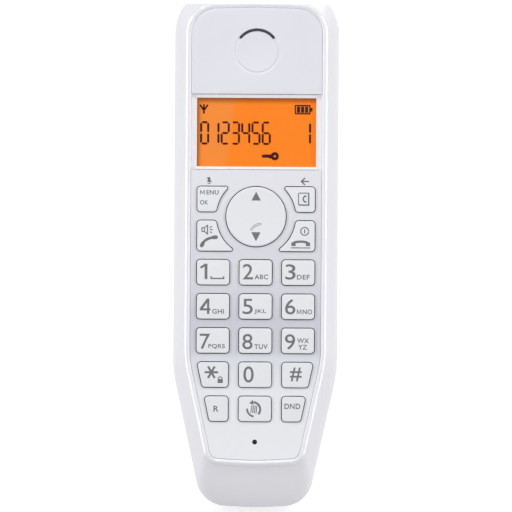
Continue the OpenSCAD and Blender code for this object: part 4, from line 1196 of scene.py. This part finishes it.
drawn("sign_end", "end", strokes(
    (0, 0),
    (0.34, arc_path((14.85, 84.3), 1.2, 0, 352, 40)),
    (0.36, [(14.85, 83.7), (14.85, 84.9)]),
    (0.72, cut_corners(np.array(HANG_UP), 3, closed=False)),
    (1.0, [(10.8, 80.3), (12.1, 80.3)]),
    (1.0, [(15.2, 80.3), (16.5, 80.3)]),
    (0.3, [(10.7, 79.25), (16.6, 79.25)]),
))
mute_mark = strokes(
    (-14.37, 99.7),
    (0.72, [(0.0, -0.1), (0.0, 0.65)], True),
    (0.22, arc_path((0.0, 0.1), 0.62, 195, 345)),
    (0.24, [(-0.45, -0.98), (0.45, -0.98)]),
    (0.24, [(-0.7, 0.85), (0.75, -0.6)]),
)
back_mark = strokes((14.85, 99.5), (0.4, [(-1.1, 0.0), (1.2, 0.0)]),
                    (0.42, [(0.0, 1.05), (-1.2, -0.1)]), (0.42, [(0.0, -1.05), (-1.2, 0.1)]))
drawn("panel_signs", "panel", mute_mark + back_mark)

# %% [markdown]
# ## Painted shade in the openings
# Dark sheets paint the shade inside the openings: a disc behind the small hole near the chin,
# and a curved strip in the slot over the earpiece.

# %% Painted shade in the openings
MIC_V = 20.0
hole_shade_profile = np.array([(0.3, 22.7), (0.72, 22.7), (0.72, 23.35), (0.3, 23.35)])
turned_piece("mic_hole_shade", hole_shade_profile, (0.0, MIC_V), 40, hole_shade_black, "soft_rubber")
strip = arc_path((0, EAR_V), SLOT_R, 91 - SLOT_SPREAD, 89 + SLOT_SPREAD, 48)
points, faces = slab_of([stroke(strip, 0.66, round_ends=True)], level(COVER_TOP - 0.55), 0.3)
piece("ear_slot_shade", points, faces, slot_shade_grey, "soft_rubber")

# %% [markdown]
# ## Pieces that keep their solid shape
# The rest of the handset and the stand keep the solids as they are. Each gets its finish.

# %% Finishes of the plain solids
KEPT = (
    (amber, "lcd_glass"), (guide_white, "lcd_backlight"), (key_mat, "keypad_mat"),
    (satin_white, "page_key"), (board_green, "main_board base_board"),
    (cell_green, "battery_left battery_right"), (bright_zinc, "housing_screws base_screws"),
    (tinned, "rf_shield antenna microphone base_weight"), (foot_black, "mic_boot base_feet"),
    (spring_metal, "battery_springs battery_plates"),
    (plated, "charge_pads charge_pin_left charge_pin_right"),
    (dark_moulding, "earpiece_speaker ringer_speaker line_socket power_inlet"),
)
for finish, nodes in KEPT:
    for node in nodes.split():
        finished(frame["nodes"][node].data, finish)
print("kept solids", sum(len(nodes.split()) for _, nodes in KEPT))

# %% [markdown]
# ## Floor, sky and lamps
# The floor and the sky are plain white to the camera and to reflections, and much dimmer to
# everything else, so that the white ground doesn't wash out the object. The floor keeps the
# soft shadow of the stand. Two long, narrow softboxes, one on either side, light the face and
# draw the bright line along the crest of its rim, as in a product studio. A third lies over the
# top end, and a wide and weak one behind keeps the back and the stand from going grey.

# %% Floor
FLOOR_HALF, FLOOR_GREY, FLOOR_GLOW = 4.0, 0.6, 0.66
floor_mesh = bpy.data.meshes.new("floor")
floor_mesh.from_pydata([(x * FLOOR_HALF, y * FLOOR_HALF, 0)
                        for x, y in ((-1, -1), (1, -1), (1, 1), (-1, 1))], [], [(0, 1, 2, 3)])
shown("floor", floor_mesh)
ground = Finish("floor_white")
seen = ground.white_rays()
paint = ground.node("BsdfDiffuse", {}, {"Color": (FLOOR_GREY, FLOOR_GREY, FLOOR_GREY, 1)})
glow = ground.node("Emission", {}, {"Color": (1, 1, 1, 1), "Strength": seen * FLOOR_GLOW})
ground.node("OutputMaterial", {}, {"Surface": ground.node("AddShader", {}, {0: paint, 1: glow})})
floor_mesh.materials.append(ground.material)

# %% World and lamps
AMBIENT = 0.37
world = bpy.data.worlds.new("studio")
scene.world = world
world.use_nodes = True
sky = Finish("studio", world.node_tree)
seen = sky.maths("MINIMUM", sky.white_rays(), 1.0)
backdrop = sky.node("Background", {}, {"Color": (1, 1, 1, 1),
                                       "Strength": seen * (1 - AMBIENT) + AMBIENT})
sky.node("OutputWorld", {}, {"Surface": backdrop})


def softbox(name, direction, distance, size, watts):
    """A lamp that looks at the middle of the handset from a direction given in the handset's
    own frame. size is how far it reaches across the handset and along it, in metres."""
    lamp = bpy.data.lights.new(name, "AREA")
    lamp.shape = "RECTANGLE"
    lamp.size, lamp.size_y = size
    lamp.energy = watts
    u, v, w = np.array(direction, float) / np.linalg.norm(direction)
    back = u * ACROSS + v * ALONG + w * OUT
    side = np.cross(ALONG, back)
    side /= np.linalg.norm(side)
    aimed(shown(name, lamp), side, np.cross(back, side), back,
          leaning(VIEW_CENTRE) + distance * back)


softbox("top_strip", (-0.15, 1.0, 0.7), 0.6, (0.5, 0.12), 1.0)
softbox("left_strip", (-1.73, 0.0, 1.0), 0.6, (0.07, 0.9), 2.3)
softbox("right_strip", (1.73, 0.0, 1.0), 0.6, (0.07, 0.9), 2.3)
softbox("back_fill", (0.5, 1.2, -0.47), 0.7, (0.5, 0.5), 1.1)
